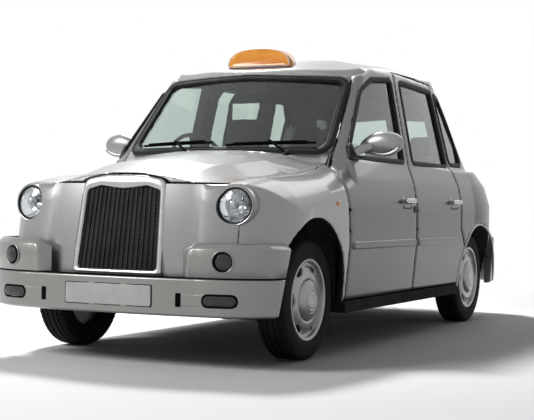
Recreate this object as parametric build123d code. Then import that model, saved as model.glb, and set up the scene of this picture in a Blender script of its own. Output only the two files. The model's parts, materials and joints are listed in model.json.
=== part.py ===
"""London-style taxi cab: a five-door hackney carriage with a separate chassis, built as named subcomponents.

Frame: millimetres, +Z up, the cab faces -Y and its left side is +X. The origin lies on the ground under the
middle of the overall length. Outlines are given for the left half and mirrored where the cab is symmetric.
"""

import math
import os
from collections import namedtuple

from build123d import *

os.makedirs("parts", exist_ok=True)

# ---------------------------------------------------------------- driving dimensions (mm)
LENGTH = 4580.0
WHEELBASE = 2886.0
FRONT_OVERHANG = 790.0
TRACK = 1400.0
DOOR_BOTTOM = 304.0

FRONT_END = -LENGTH / 2
REAR_END = LENGTH / 2
FRONT_AXLE = FRONT_END + FRONT_OVERHANG
REAR_AXLE = FRONT_AXLE + WHEELBASE


def aft(distance):
    """Y of a point at this distance behind the front axle."""
    return FRONT_AXLE + distance


# ---------------------------------------------------------------- wheels and steering (mm)
TYRE_RADIUS = 330.0
TYRE_WIDTH = 175.0
RIM_RADIUS = 215.0
RIM_BORE = 30.0
HUB_CLEARANCE = 0.05
WHEEL_X = TRACK / 2
KINGPIN_OFFSET = 50.0
KINGPIN_X = WHEEL_X - KINGPIN_OFFSET
AXLE_Z = TYRE_RADIUS
VENT_COUNT = 6
VENT_RADIUS = 21.0
VENT_CIRCLE = 158.0
FRONT_ARCH_CENTRE = (aft(-80.0), 360.0)
FRONT_ARCH_RADIUS = 415.0
FRONT_ARCH_X = (610.0, 1110.0)
REAR_ARCH_CENTRE = (REAR_AXLE, 272.0)
REAR_ARCH_RADIUS = 452.0
REAR_ARCH_X = (550.0, 1010.0)

# ---------------------------------------------------------------- body outline tables (mm)
# Waterlines of the lower body: height, foremost y of the nose, half width of the side, rearmost y of the tail.
Waterline = namedtuple("Waterline", "z nose side tail")
WATERLINES = (
    Waterline(DOOR_BOTTOM, aft(-700.0), 838.0, aft(3640.0)),
    Waterline(620.0, aft(-702.0), 868.0, aft(3690.0)),
    Waterline(860.0, aft(-664.0), 866.0, aft(3690.0)),
    Waterline(1000.0, aft(-630.0), 838.0, aft(3640.0)),
    Waterline(1110.0, aft(-600.0), 798.0, aft(3500.0)),
    Waterline(1200.0, aft(-570.0), 780.0, aft(3470.0)),
)
# Arcs of every waterline: half width and setback on the nose, then distances inboard of the side and behind the
# nose or ahead of the tail on the corners, then half width and setback on the tail.
NOSE_ARC = ((240.0, 8.0), (450.0, 34.0))
CORNER_ARC = ((123.0, 155.0), (0.0, 520.0))
SIDE_END = aft(2750.0)
HAUNCH_ARC = ((60.0, 390.0), (270.0, 80.0))
TAIL_BOW = (300.0, 14.0)
# Outlines of the glasshouse: height, then y and x of the windscreen corner, front post, mid side, rear side and
# rear corner, and the y of the rear window on the centre line.
Glasshouse = namedtuple(
    "Glasshouse", "z screen_y screen_x corner_y post_x post_y side_x side_y rear_x rear_y turn_x turn_y back_y")
GLASSHOUSE = (
    Glasshouse(
        1100.0, aft(310.0), 694.0, aft(448.0), 782.0, aft(515.0), 802.0, aft(1500.0),
        760.0, aft(2800.0), 560.0, aft(3390.0), aft(3500.0)),
    Glasshouse(
        1650.0, aft(790.0), 634.0, aft(945.0), 676.0, aft(1000.0), 692.0, aft(1500.0),
        650.0, aft(2400.0), 450.0, aft(2960.0), aft(3060.0)),
)
GLASSHOUSE_SPAN = (980.0, 1900.0)
SCREEN_BOW = (0.52, 34.0)
REAR_TURN = (0.6, 0.72)
BACK_BOW = (0.5, 22.0)
WAIST_Z = 1110.0
# Stations along the front end: y, then the side, the shoulder, the crown of the wing, the valley beside the
# bonnet bulge and the shoulder of the bulge as x, z pairs, and the height of the centre line.
Station = namedtuple("Station", "y side_z shoulder crown valley bulge centre_z")
STATIONS = (
    Station(aft(-760.0), 560.0, (806.0, 800.0), (640.0, 912.0), (500.0, 915.0), (290.0, 940.0), 968.0),
    Station(aft(-300.0), 700.0, (822.0, 890.0), (665.0, 985.0), (520.0, 972.0), (340.0, 1045.0), 1082.0),
    Station(aft(100.0), 760.0, (836.0, 940.0), (730.0, 1012.0), (610.0, 1015.0), (440.0, 1095.0), 1136.0),
    Station(aft(520.0), 780.0, (846.0, 960.0), (780.0, 1060.0), (700.0, 1105.0), (520.0, 1145.0), 1178.0),
)
STATION_SIDE = 880.0
BULGE_CROWN = (0.5, 0.78)
# Roof line on the centre: y, z points of the arcs from the windscreen header to the rear window.
ROOF_LINE = (
    (aft(700.0), 1640.0), (aft(1050.0), 1742.0), (aft(1850.0), 1806.0), (aft(2620.0), 1740.0),
    (aft(3120.0), 1560.0),
)
ROOF_BASE_Z = 900.0
ROOF_BROW = (aft(100.0), 1400.0)
ROOF_RUN_OUT = 500.0
# Section of the roof: half widths and drops below the crown.
ROOF_FOOT = (724.0, 202.0)
ROOF_SIDE = (650.0, 73.84)
ROOF_SHOULDER = (560.0, 45.0)
ROOF_CROWN = (300.0, 12.0)
ROOF_SECTION_RUN = (aft(200.0), aft(3700.0))

# ---------------------------------------------------------------- walls, shut lines and openings (mm)
SIDE_DEPTH = (450.0, 1000.0)
BEYOND = 1000.0
PANEL_GAP = 8.0
FLANGE = 14.0
FLANGE_RELIEF = 14.0
DOOR_THICKNESS = 60.0
FRAME_OUTER = 68.0
FRAME_INNER = 102.0
SKIN = 22.0
ROOF_THICKNESS = 40.0
GLASS_OUTER = 14.01
GLASS_THICKNESS = 6.0
GLASS_INNER = GLASS_OUTER + GLASS_THICKNESS
APERTURE_LIP = 34.0
B_SEAM = aft(1497.0)
C_SEAM = aft(2433.0)
GUTTER_Z = 1716.0
SCREEN_EDGE = ((aft(456.0), 1100.0), (aft(945.0), 1640.0))
FRONT_DOOR = (
    (aft(373.0), DOOR_BOTTOM), (aft(373.0), 650.0), (aft(350.0), 876.0), (aft(335.0), 990.0),
    SCREEN_EDGE[0], SCREEN_EDGE[1], (aft(1150.0), 1706.0), (B_SEAM, GUTTER_Z), (B_SEAM, DOOR_BOTTOM),
)
REAR_DOOR = (
    (B_SEAM, DOOR_BOTTOM), (B_SEAM, GUTTER_Z), (aft(2330.0), 1706.0), (aft(2385.0), 1130.0),
    (C_SEAM, 980.0), (C_SEAM, 700.0), (aft(2540.0), 560.0), (aft(2540.0), DOOR_BOTTOM),
)
GUTTER = (
    (aft(400.0), 1640.0), (aft(945.0), 1640.0), (aft(1150.0), 1706.0), (B_SEAM, GUTTER_Z),
    (aft(2330.0), 1706.0), (aft(2700.0), 1660.0), (aft(3060.0), 1570.0), (aft(3600.0), 1440.0),
)
BODY_SIDE_FRONT = (
    (aft(377.0), 250.0), (aft(377.0), 650.0), (aft(354.0), 876.0), (aft(340.0), 992.0), (aft(453.0), 1100.0),
    (aft(250.0), 1100.0), (aft(250.0), 1640.0),
)
BODY_SIDE_REAR = ((aft(3900.0), 1360.0), (aft(3900.0), 250.0))
ROOF_ZONE_TOP = ((aft(3600.0), 1950.0), (aft(400.0), 1950.0))
FRONT_WINDOW = (
    (aft(540.0), 1130.0), (aft(914.0), 1545.0), (aft(1111.0), 1629.0), (aft(1430.0), 1655.0),
    (aft(1415.0), 1130.0),
)
REAR_WINDOW = ((aft(1590.0), 1130.0), (aft(1590.0), 1655.0), (aft(2290.0), 1650.0), (aft(2328.0), 1130.0))
QUARTER_WINDOW = (
    (aft(2424.0), 1150.0), (aft(2372.0), 1644.0), (aft(2600.0), 1622.0), (aft(2690.0), 1500.0),
    (aft(2750.0), 1150.0),
)
WINDOW_RADIUS = 28.0
WINDSCREEN = ((0.0, 1172.0), (655.0, 1166.0), (606.0, 1606.0), (0.0, 1632.0))
BACKLIGHT = ((0.0, 1150.0), (500.0, 1150.0), (440.0, 1520.0), (0.0, 1545.0))
SCREEN_DEPTH = (aft(250.0), aft(1100.0))
BACK_DEPTH = (aft(2850.0), aft(3650.0))
# The inner limit of the doors in the front view, and the outer corners that close it.
DOOR_INNER_LIMIT = ((722.0, 200.0), (722.0, 1000.0), (700.0, 1104.0), (615.0, 1640.0), (560.0, 1760.0))
DOOR_OUTER_LIMIT = ((1000.0, 1760.0), (1000.0, 200.0))
DOOR_RUN = (aft(200.0), aft(2700.0))
FRONT_RELIEF = ((B_SEAM, 200.0), (B_SEAM, 1800.0))
REAR_RELIEF = ((aft(2398.0), 1000.0), (aft(2322.0), 1800.0))
RELIEF_REACH = 60.0

# ---------------------------------------------------------------- hinges (mm)
HINGE_X = 862.0
HINGE_SETBACK = 30.0
HINGE_SWEEP = 92.0
HINGE_SWEEP_LOW = 200.0
NOSE_SWEEP = 126.0
NOSE_SWEEP_LOW = 880.0
NOSE_POCKET = ((704.0, 760.0), (aft(352.0), aft(395.0)), (975.0, 1010.0))
FRONT_HINGE_Y = aft(373.0) + HINGE_SETBACK
REAR_HINGE_Y = B_SEAM + HINGE_SETBACK
LEAF_Z = (700.0, 820.0)
LEAF_HALF = 12.0
LEAF_SHEET = 2.5
LEAF_ROOT_X = 748.0
LEAF_PAD_X = 768.0
LEAF_PAD_LAP = 20.0
LEAF_SLOT_X = (700.0, 800.0)
LEAF_SWEEP = 70.0
LEAF_CLEARANCE = 1.5
DOOR_PIN_RADIUS = 3.0
DOOR_PIN_REACH = 14.0
END_CLEARANCE = 1.0
BONNET_HINGE = (aft(370.0), 1130.0)
BONNET_ARM_X = (300.0, 312.0)
BONNET_ARM_HALF = 5.0
BONNET_ARM_RUN = 110.0
BONNET_ARM_DROP = 75.0
BONNET_EYE_RADIUS = 7.0
BONNET_PIN_RADIUS = 3.0
BONNET_PIN_LAP = (3.0, 20.0)
BONNET_POCKET_SIDE = (8.0, 4.0)
BONNET_POCKET_Y = (aft(280.0), BONNET_HINGE[0] + 15.0)
BONNET_POCKET_Z = (1000.0, 1139.0)
BOOT_HINGE_X = (180.0, 210.0, 232.0)
BOOT_PIN_RADIUS = 4.0
BOOT_EYE_RADIUS = 8.0
BOOT_EYE_CLEARANCE = 5.0
BOOT_STRAP = (8.0, 4.0)
BOOT_LUG_Y = (24.0, 2.0)
BOOT_LUG_Z = (2.0, 8.0)

# ---------------------------------------------------------------- front and rear ends (mm)
BONNET_SEAM = ((500.0, aft(-720.0)), (535.0, aft(-300.0)), (625.0, aft(100.0)), (672.0, aft(345.0)))
BONNET_REAR = aft(300.0)
BONNET_Z = (950.0, 1300.0)
AHEAD = aft(-900.0)
WING_Z = (200.0, 1300.0)
WING_BACK = ((680.0, aft(450.0)), (1000.0, aft(450.0)))
WING_SIDE_VIEW = (
    (AHEAD, 200.0), (aft(369.0), 200.0), (aft(369.0), 650.0), (aft(346.0), 876.0), (aft(329.0), 992.0),
    (aft(441.0), 1096.0), (AHEAD, 1096.0),
)
WING_SEAM_X = 655.0
NOSE_PANEL_LOW = 320.0
NOSE_BACK = aft(-430.0)
SCUTTLE_CORNER_X = 679.5
SCUTTLE_REAR = aft(700.0)
SCUTTLE_LOW = 900.0
SCUTTLE_TOP = 1160.0
SCUTTLE_ZONE = ((0.0, 680.0), (aft(200.0), aft(700.0)), (250.0, SCUTTLE_TOP))
REAR_ZONE = ((0.0, 560.0), (aft(3000.0), aft(3800.0)), (250.0, 1150.0))
BOOT_LID_HALF = 520.0
BOOT_LID_Z = (660.0, 1082.0)
BOOT_DEPTH = (aft(3200.0), aft(3800.0))
GRILLE_BOTTOM = 470.0
GRILLE_TOP = 954.0
GRILLE_CROWN = 990.0
GRILLE_SHOULDER = (130.0, 8.0)
GRILLE_HALF_BOTTOM = 273.0
GRILLE_HALF_TOP = 250.0
GRILLE_BAR = 26.0
GRILLE_BAND = 50.0
GRILLE_FRONT = aft(-722.0)
GRILLE_RAKE = 82.0
GRILLE_DEPTH = 60.0
GRILLE_CUT = (AHEAD, aft(-400.0))
MESH_SETBACK = 22.0
MESH_PITCH_X = 32.0
MESH_PITCH_Z = 48.0
MESH_FIRST_Z = 540.0
MESH_WIRE = 2.0
HEADLAMP = (629.0, 834.0)
HEADLAMP_RADIUS = 91.0
HEADLAMP_FRONT = aft(-566.0)
HEADLAMP_DEPTH = 70.0
LAMP_HOLE_CLEARANCE = 1.0
RIM_PROUD = 16.0
RIM_REACH = (12.0, 152.0)
SEAT_FIT = 0.3
BUMPER_Z = (272.0, 469.0, 645.0)
BUMPER_SWELL_Z = 340.0
BUMPER_TUCK = 20.0
BUMPER_LEAN = 10.0
BUMPER_OPENING_X = 430.0
BUMPER_WALL = 80.0
BUMPER_SIDE = 875.0
BUMPER_FRONT_ARC = ((260.0, 3.0), (500.0, 27.0))
BUMPER_CORNER_ARC = ((135.0, 106.0), (25.0, 225.0))
BUMPER_SIDE_START = 390.0
BUMPER_RUN = 700.0
BUMPER_END = ((aft(-398.0), 660.0), (aft(-535.0), 260.0))
REAR_BUMPER_END = ((aft(3320.0), 660.0), (aft(3240.0), 260.0))
PLATE_HALF = 262.0
PLATE_Z = (314.0, 428.0)
PLATE_PROUD = 3.0
PLATE_PAD = 40.0
INDICATOR = (640.0, 546.0)
INDICATOR_RADIUS = 56.0
INDICATOR_Y = (aft(-780.0), aft(-620.0))
PROUD = 10.0
TAIL_LAMP_X = (600.0, 760.0)
TAIL_LAMP_Z = (700.0, 960.0)

# ---------------------------------------------------------------- wheel houses and bulkhead (mm)
BULKHEAD_Y = (aft(390.0), aft(420.0))
BULKHEAD_HALF = 660.0
BULKHEAD_WING_X = (650.0, 730.0)
POST_X = (690.0, 860.0)
POST_Y = (BULKHEAD_Y[0], aft(452.0))
POST_TOP = 1060.0
INNER_WING_X = (350.0, 366.0)
INNER_WING_Z = (300.0, 900.0)
WELL_FRONT = aft(-480.0)
WELL_BACK = aft(330.0)
WELL_LAP = aft(320.0)
WELL_SHEET = 15.0
WELL_WALL_LOW = 360.0
WELL_SHELF_Z = (820.0, 835.0)
ARM_WINDOW_HALF = 80.0
ARM_WINDOW_Z = (250.0, 480.0)

# ---------------------------------------------------------------- trim (mm)
HANDLE_Z = 880.0
HANDLE_FACE = 866.0
HANDLE_BAR = (18.0, 30.0)
HANDLE_HALF = 92.0
HANDLE_HALF_HEIGHT = 13.0
HANDLE_FOOT = (12.0, 11.0)
HANDLE_FOOT_PITCH = 76.0
FRONT_HANDLE_Y = aft(1315.0)
REAR_HANDLE_Y = aft(2270.0)
MIRROR_CASE = ((842.0, 1018.0), (aft(722.0), aft(818.0)), (1148.0, 1298.0))
MIRROR_ROUND = 40.0
MIRROR_ARM = ((800.0, aft(640.0), 1150.0), (880.0, aft(770.0), 1190.0))
MIRROR_ARM_RADIUS = 16.0
MIRROR_FOOT = ((740.0, 840.0), (aft(560.0), aft(690.0)), (1088.0, 1165.0))
WIPER_WIDTH = 14.0
WIPER_DEPTH = (aft(352.0), aft(1100.0))
# Each wiper: both ends of its blade and its pivot, as x, z pairs.
WIPERS = (
    ((-560.0, 1186.0), (-40.0, 1202.0), (-170.0, 1120.0)),
    ((60.0, 1186.0), (590.0, 1202.0), (450.0, 1120.0)),
)
SIGN_HALF = 232.0
SIGN_Z = (1690.0, 1748.0, 1834.0)
SIGN_Y = (aft(905.0), aft(1010.0))
SIGN_STEP = 8.0
SIGN_ROUND = 24.0

# ---------------------------------------------------------------- chassis (mm)
# Front view of a wheel: the barrel, the dished disc and the raised centre, as depth and radius.
WHEEL_BARREL = (
    (-70.0, RIM_RADIUS), (-70.0, 205.0), (30.0, 205.0), (30.0, 110.0), (10.0, 60.0), (10.0, RIM_BORE))
WHEEL_HUB = ((60.0, RIM_BORE), (60.0, 0.0), (84.0, 0.0), (84.0, 45.0))
WHEEL_DOME = ((72.0, 120.0), (50.0, 185.0))
WHEEL_RIM = ((58.0, 205.0), (80.0, 213.0), (82.0, 222.0), (86.0, 222.0), (86.0, RIM_RADIUS))
VENT_DEPTH = (10.0, 70.0)
TYRE_BEAD = 75.0
TYRE_BULGE = 252.0
TYRE_SHOULDER = ((3.0, 290.0), (8.0, 315.0))
TREAD_HALF = 60.0
TREAD_CROWN = 3.0
ARM_REACH = 100.0
ARM_SHEET = 25.0
ARM_HALF = 34.0
PIN_RADIUS = 14.0
KNUCKLE_RADIUS = 30.0
STUB_RADIUS = 40.0
HUB_SHOULDER = 9.7
SPINDLE_TIP = 59.7
DRUM_RADIUS = 140.0
FRONT_DRUM_X = (WHEEL_X - 8.0, WHEEL_X)
REAR_DRUM_X = (WHEEL_X - 20.0, WHEEL_X)
STEERING_ARM_HALF = 12.0
STEERING_ARM_REACH = 140.0
AXLE_TUBE_RADIUS = 38.0
DIFFERENTIAL = (110.0, 75.0)
RAIL_X = (285.0, 340.0)
RAIL_FRONT_Z = (330.0, 400.0)
RAIL_MIDDLE_Z = (190.0, 262.0)
RAIL_REAR_Z = (410.0, 480.0)
# Each length of rail: y at its two ends with the rail's bottom and top there.
RAIL_LENGTHS = (
    ((aft(-655.0), RAIL_FRONT_Z), (aft(220.0), RAIL_FRONT_Z)),
    ((aft(220.0), RAIL_FRONT_Z), (aft(360.0), RAIL_MIDDLE_Z)),
    ((aft(360.0), RAIL_MIDDLE_Z), (aft(2460.0), RAIL_MIDDLE_Z)),
    ((aft(2460.0), RAIL_MIDDLE_Z), (aft(2610.0), RAIL_REAR_Z)),
    ((aft(2610.0), RAIL_REAR_Z), (aft(3590.0), RAIL_REAR_Z)),
)
RAIL_NOSE = (aft(-720.0), aft(-655.0))
RAIL_TAIL = (aft(3590.0), aft(3700.0))
FLOOR_Z = (262.0, 292.0)
FLOOR_HALF = 750.0
SILL_X = 838.0
SILL_Z = (235.0, 300.0)
SILL_INNER = 728.0
SILL_LIP = 762.0
SILL_FRONT = aft(377.0)
REAR_FLOOR_Y = aft(2425.0)
REAR_FLOOR_Z = (560.0, 590.0)
REAR_FLOOR_HALF = 540.0
REAR_FLOOR_BACK = aft(3700.0)
REAR_WELL_X = (540.0, 555.0)
REAR_WELL_Z = (732.0, 747.0)
REAR_WELL_LOW = 440.0
REAR_WELL_BACK = aft(3380.0)
OUTRIGGER_Z = (215.0, 262.0)
OUTRIGGER_END = 700.0
SPRING_SEAT_END = 440.0
SPRING_SEAT_Z = (AXLE_Z + AXLE_TUBE_RADIUS, 440.0)
Member = namedtuple("Member", "x y z")
CROSS_MEMBERS = (
    Member((0.0, RAIL_X[0]), (aft(-650.0), aft(-570.0)), (340.0, 400.0)),
    Member((0.0, RAIL_X[0]), (aft(120.0), aft(200.0)), (330.0, 390.0)),
    Member((0.0, RAIL_X[0]), (aft(1560.0), aft(1640.0)), (195.0, 262.0)),
    Member((0.0, RAIL_X[0]), (aft(2300.0), aft(2380.0)), (195.0, 262.0)),
    Member((0.0, RAIL_X[0]), (aft(3500.0), aft(3580.0)), (415.0, 480.0)),
)
SIDE_MEMBERS = (
    Member((RAIL_X[1], OUTRIGGER_END), (aft(1000.0), aft(1060.0)), OUTRIGGER_Z),
    Member((RAIL_X[1], OUTRIGGER_END), (aft(2000.0), aft(2060.0)), OUTRIGGER_Z),
    Member(RAIL_X, (FRONT_AXLE - 70.0, FRONT_AXLE + 70.0), (205.0, RAIL_FRONT_Z[0])),
    Member(RAIL_X, (FRONT_AXLE - 70.0, FRONT_AXLE + 70.0), (RAIL_FRONT_Z[1], 470.0)),
    Member((RAIL_X[1], SPRING_SEAT_END), (REAR_AXLE - 50.0, REAR_AXLE + 50.0), SPRING_SEAT_Z),
    Member(RAIL_X, (aft(2700.0), aft(2790.0)), (RAIL_REAR_Z[1], REAR_FLOOR_Z[0])),
    Member(RAIL_X, (aft(3450.0), aft(3540.0)), (RAIL_REAR_Z[1], REAR_FLOOR_Z[0])),
)
ENGINE_BLOCK = Member((-255.0, 255.0), (aft(-330.0), aft(280.0)), (400.0, 860.0))
ENGINE_SUMP = Member((-180.0, 180.0), (aft(-300.0), aft(100.0)), (250.0, 400.0))
ENGINE_NOTCH = Member((-400.0, 400.0), (aft(118.0), aft(202.0)), (300.0, 392.0))
ENGINE_MOUNT = Member((-330.0, 330.0), (aft(-220.0), aft(-150.0)), (400.0, 440.0))
SILENCER = Member((-230.0, -90.0), (aft(1450.0), aft(2150.0)), (115.0, 195.0))
EXHAUST_X = -160.0
# Each exhaust pipe: y, z of both ends and its radius.
EXHAUST_PIPES = (
    ((aft(100.0), 272.0), (aft(360.0), 212.0), 18.0),
    ((aft(358.0), 212.0), (aft(1460.0), 155.0), 18.0),
    ((aft(2140.0), 155.0), (aft(3700.0), 215.0), 20.0),
)

# ---------------------------------------------------------------- cabin (mm)
DRIVER_X = -450.0
WHEEL_CENTRE = (DRIVER_X, aft(960.0), 1140.0)
COLUMN_DIRECTION = (0.0, 0.80, 0.60)
STEERING_RADIUS = 190.0
STEERING_GRIP = 14.0
SPOKE_COUNT = 3
SPOKE_RADIUS = 12.0
BOSS_RADIUS = 46.0
BOSS_SPAN = (-30.0, 14.0)
SHAFT_RADIUS = 12.0
SHAFT_LENGTH = 110.0
COLUMN_RADIUS = 32.0
COLUMN_SPAN = (-420.0, -30.3)
COLUMN_BORE_DEPTH = 120.0
DASH_MIDDLE = Member((0.0, 689.0), (BULKHEAD_Y[1], aft(720.0)), (800.0, 1120.0))
DASH_END = Member((680.0, 900.0), (aft(453.0), aft(720.0)), (800.0, 1120.0))
SEAT_HALF = (205.0, 225.0)
DRIVER_SEAT = (
    (aft(1120.0), FLOOR_Z[1]), (aft(1120.0), 560.0), (aft(1060.0), 580.0), (aft(1060.0), 690.0),
    (aft(1450.0), 660.0), (aft(1540.0), 1240.0), (aft(1660.0), 1240.0), (aft(1600.0), 560.0),
    (aft(1500.0), FLOOR_Z[1]),
)
DRIVER_HEADREST = Member((-130.0, 130.0), (aft(1560.0), aft(1650.0)), (1230.0, 1430.0))
BENCH_HALF = 530.0
BENCH = (
    (aft(2470.0), REAR_FLOOR_Z[1]), (aft(2440.0), 760.0), (aft(2900.0), 740.0), (aft(2990.0), 1240.0),
    (aft(3080.0), 1240.0), (aft(3040.0), REAR_FLOOR_Z[1]),
)
BENCH_PLACES = (-370.0, 0.0, 370.0)
BENCH_HEADREST = Member((-110.0, 110.0), (aft(2992.0), aft(3070.0)), (1230.0, 1380.0))
PARTITION_Y = (aft(1690.0), aft(1715.0))
PARTITION_TOP = 1780.0
PARTITION_WINDOW = ((-600.0, 600.0), (1130.0, 1560.0))
TIP_UP_PLACES = (-390.0, 390.0)
TIP_UP_SEAT = Member((-210.0, 210.0), (aft(1705.0), aft(1780.0)), (640.0, 1060.0))


# ---------------------------------------------------------------- shape helpers
def closed_wire(place, start, *steps):
    """A closed wire through flat points. A step is an end point, or (through, end) for an arc."""
    edges, here = [], start
    for step in (*steps, start):
        through, end = step if isinstance(step[0], tuple) else (None, step)
        if end == here:
            continue
        if through is None:
            edges.append(Edge.make_line(place(here), place(end)))
        else:
            edges.append(Edge.make_three_point_arc(place(here), place(through), place(end)))
        here = end
    return Wire(edges)


def in_side_view(point):
    """A point of the side view (y, z) in space."""
    return Vector(0, point[0], point[1])


def in_front_view(y):
    """Places points of the front view (x, z) at a y."""
    return lambda point: Vector(point[0], y, point[1])


def in_plan(z):
    """Places points of the plan (x, y) at a height."""
    return lambda point: Vector(point[0], point[1], z)


def side_prism(*outline, x=SIDE_DEPTH, grow=0.0, radius=0.0):
    """An outline in the side view (y, z), run across the cab between two x values."""
    face = Face(closed_wire(in_side_view, *outline)).moved(Location((x[0], 0, 0)))
    if radius:
        face = face.fillet_2d(radius, face.vertices())
    if grow:
        face = Face(face.outer_wire().offset_2d(grow, kind=Kind.INTERSECTION))
    return Solid.extrude(face, Vector(x[1] - x[0], 0, 0))


def front_prism(*outline, y):
    """An outline in the front view (x, z), run along the cab between two y values."""
    return Solid.extrude(Face(closed_wire(in_front_view(y[0]), *outline)), Vector(0, y[1] - y[0], 0))


def plan_prism(*outline, z):
    """An outline in plan (x, y), run up between two z values."""
    return Solid.extrude(Face(closed_wire(in_plan(z[0]), *outline)), Vector(0, 0, z[1] - z[0]))


def block(x, y, z):
    """A box between two values of each axis."""
    middle = Pos((x[0] + x[1]) / 2, (y[0] + y[1]) / 2, (z[0] + z[1]) / 2)
    return middle * Box(x[1] - x[0], y[1] - y[0], z[1] - z[0])


def placed_block(member, x):
    """A tabled box moved across the cab."""
    return block((x + member.x[0], x + member.x[1]), member.y, member.z)


def rod(start, end, radius):
    """A round bar between two points."""
    a, b = Vector(*start), Vector(*end)
    return Solid.make_cylinder(radius, (b - a).length, Plane(origin=a, z_dir=b - a))


def cross_rod(x, centre, radius):
    """A round bar across the cab between two x values, at y, z."""
    return rod((x[0], *centre), (x[1], *centre), radius)


def upright(centre, z, radius):
    """A round bar standing at x, y between two heights."""
    return rod((*centre, z[0]), (*centre, z[1]), radius)


def lengthwise(place, y, radius):
    """A round bar along the cab at x, z between two y values."""
    return rod((place[0], y[0], place[1]), (place[0], y[1], place[1]), radius)


def flipped(shape):
    """The shape's mirror image on the other side of the cab."""
    return mirror(shape, about=Plane.YZ)


def both_sides(shape):
    """The shape and its mirror image, as solids that don't touch."""
    return list(shape.solids()) + list(flipped(shape).solids())


def across(shape):
    """The shape joined to its mirror image across the centre line."""
    return shape + flipped(shape)


def keep(name, *shapes):
    """Writes a node's solids."""
    solids = [solid for shape in shapes for solid in (shape if isinstance(shape, list) else shape.solids())]
    export_step(Compound(children=solids) if len(solids) > 1 else solids[0], f"parts/{name}.step")


def keep_pair(name, left):
    """Writes a left node and its mirror image on the right."""
    keep(f"{name}_left", left)
    keep(f"{name}_right", flipped(left))


# ---------------------------------------------------------------- the body's outer shape
def waterline(level, inset):
    """Half plan outline of the lower body at one height, drawn in by inset."""
    side, nose, tail = level.side - inset, level.nose + inset, level.tail - inset
    nose_middle, nose_end = ((x, nose + back) for x, back in NOSE_ARC)
    corner_middle, corner_end = ((side - x, nose + back) for x, back in CORNER_ARC)
    haunch_middle, haunch_end = ((side - x, tail - ahead) for x, ahead in HAUNCH_ARC)
    return closed_wire(
        in_plan(level.z), (0.0, nose), (nose_middle, nose_end), (corner_middle, corner_end), (side, SIDE_END),
        (haunch_middle, haunch_end), ((TAIL_BOW[0], tail - TAIL_BOW[1]), (0.0, tail)))


def tail_at(z):
    """The rearmost y of the lower body at a height between two waterlines."""
    low, high = next(pair for pair in zip(WATERLINES, WATERLINES[1:]) if pair[0].z <= z <= pair[1].z)
    return low.tail + (high.tail - low.tail) * (z - low.z) / (high.z - low.z)


def glasshouse_outline(level, inset, z):
    """Half plan outline of the glasshouse at one height, drawn in by inset."""
    turn_x = level.turn_x * REAR_TURN[0] + level.rear_x * (1.0 - REAR_TURN[0]) - inset
    turn_y = level.turn_y * REAR_TURN[1] + level.rear_y * (1.0 - REAR_TURN[1]) - inset
    screen_middle = (level.screen_x * SCREEN_BOW[0], level.screen_y + SCREEN_BOW[1] + inset)
    back_middle = (level.turn_x * BACK_BOW[0], level.back_y - BACK_BOW[1] - inset)
    return closed_wire(
        in_plan(z),
        (0.0, level.screen_y + inset),
        (screen_middle, (level.screen_x - inset, level.corner_y + inset)),
        (level.post_x - inset, level.post_y + inset),
        ((level.side_x - inset, level.side_y), (level.rear_x - inset, level.rear_y)),
        ((turn_x, turn_y), (level.turn_x - inset, level.turn_y - inset)),
        (back_middle, (0.0, level.back_y - inset)),
    )


def glasshouse_level(z):
    """The glasshouse outline at any height, on the straight lines between the two tabled ones."""
    low, high = GLASSHOUSE
    share = (z - low.z) / (high.z - low.z)
    return Glasshouse(*(a + (b - a) * share for a, b in zip(low, high)))


def roof_dome(inset):
    """Everything under the roof: its centre line as arcs, run across, cut by the crown of its section."""
    start, rise, crown, fall, end = ((y, z - inset) for y, z in ROOF_LINE)
    profile = side_prism(
        (ROOF_BROW[0], ROOF_BASE_Z), ROOF_BROW, start, (rise, crown), (fall, end),
        (end[0] + ROOF_RUN_OUT, ROOF_BASE_Z), x=(0.0, BEYOND))
    top = crown[1]
    foot, side, shoulder = ((x - inset, top - drop) for x, drop in (ROOF_FOOT, ROOF_SIDE, ROOF_SHOULDER))
    middle = (ROOF_CROWN[0], top - ROOF_CROWN[1])
    section = front_prism(
        (0.0, ROOF_BASE_Z), (BEYOND - inset, ROOF_BASE_Z), foot, (side, shoulder), (middle, (0.0, top)),
        y=ROOF_SECTION_RUN)
    return profile & section


def glasshouse(inset):
    """Left half of the glasshouse: a tapering loft under the roof dome."""
    outlines = [glasshouse_outline(glasshouse_level(z), inset, z) for z in GLASSHOUSE_SPAN]
    return Solid.make_loft(outlines, ruled=True) & roof_dome(inset)


def top_section(station, inset):
    """Half section of the front end at one station: side, shoulder, wing crown, valley and bonnet bulge."""
    s = station
    width, share = BULGE_CROWN
    bulge_middle = (s.bulge[0] * width, s.centre_z * share + s.bulge[1] * (1.0 - share) - inset)
    return closed_wire(
        in_front_view(s.y),
        (0.0, 100.0),
        (900.0, 100.0),
        (STATION_SIDE - inset, s.side_z),
        ((s.shoulder[0] - inset, s.shoulder[1] - inset), (s.crown[0], s.crown[1] - inset)),
        (s.valley[0], s.valley[1] - inset),
        (s.bulge[0], s.bulge[1] - inset),
        (bulge_middle, (0.0, s.centre_z - inset)),
    )


def body_shape(inset):
    """Left half of the whole body's outside, drawn in by inset on every face but the open bottom."""
    waterlines = Solid.make_loft([waterline(level, inset) for level in WATERLINES], ruled=True)
    tops = Solid.make_loft([top_section(station, inset) for station in STATIONS], ruled=True)
    behind = block((0.0, 900.0), (STATIONS[-1].y, REAR_END), (100.0, WAIST_Z - inset))
    return (waterlines & (tops + behind)) + glasshouse(inset)


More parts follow.
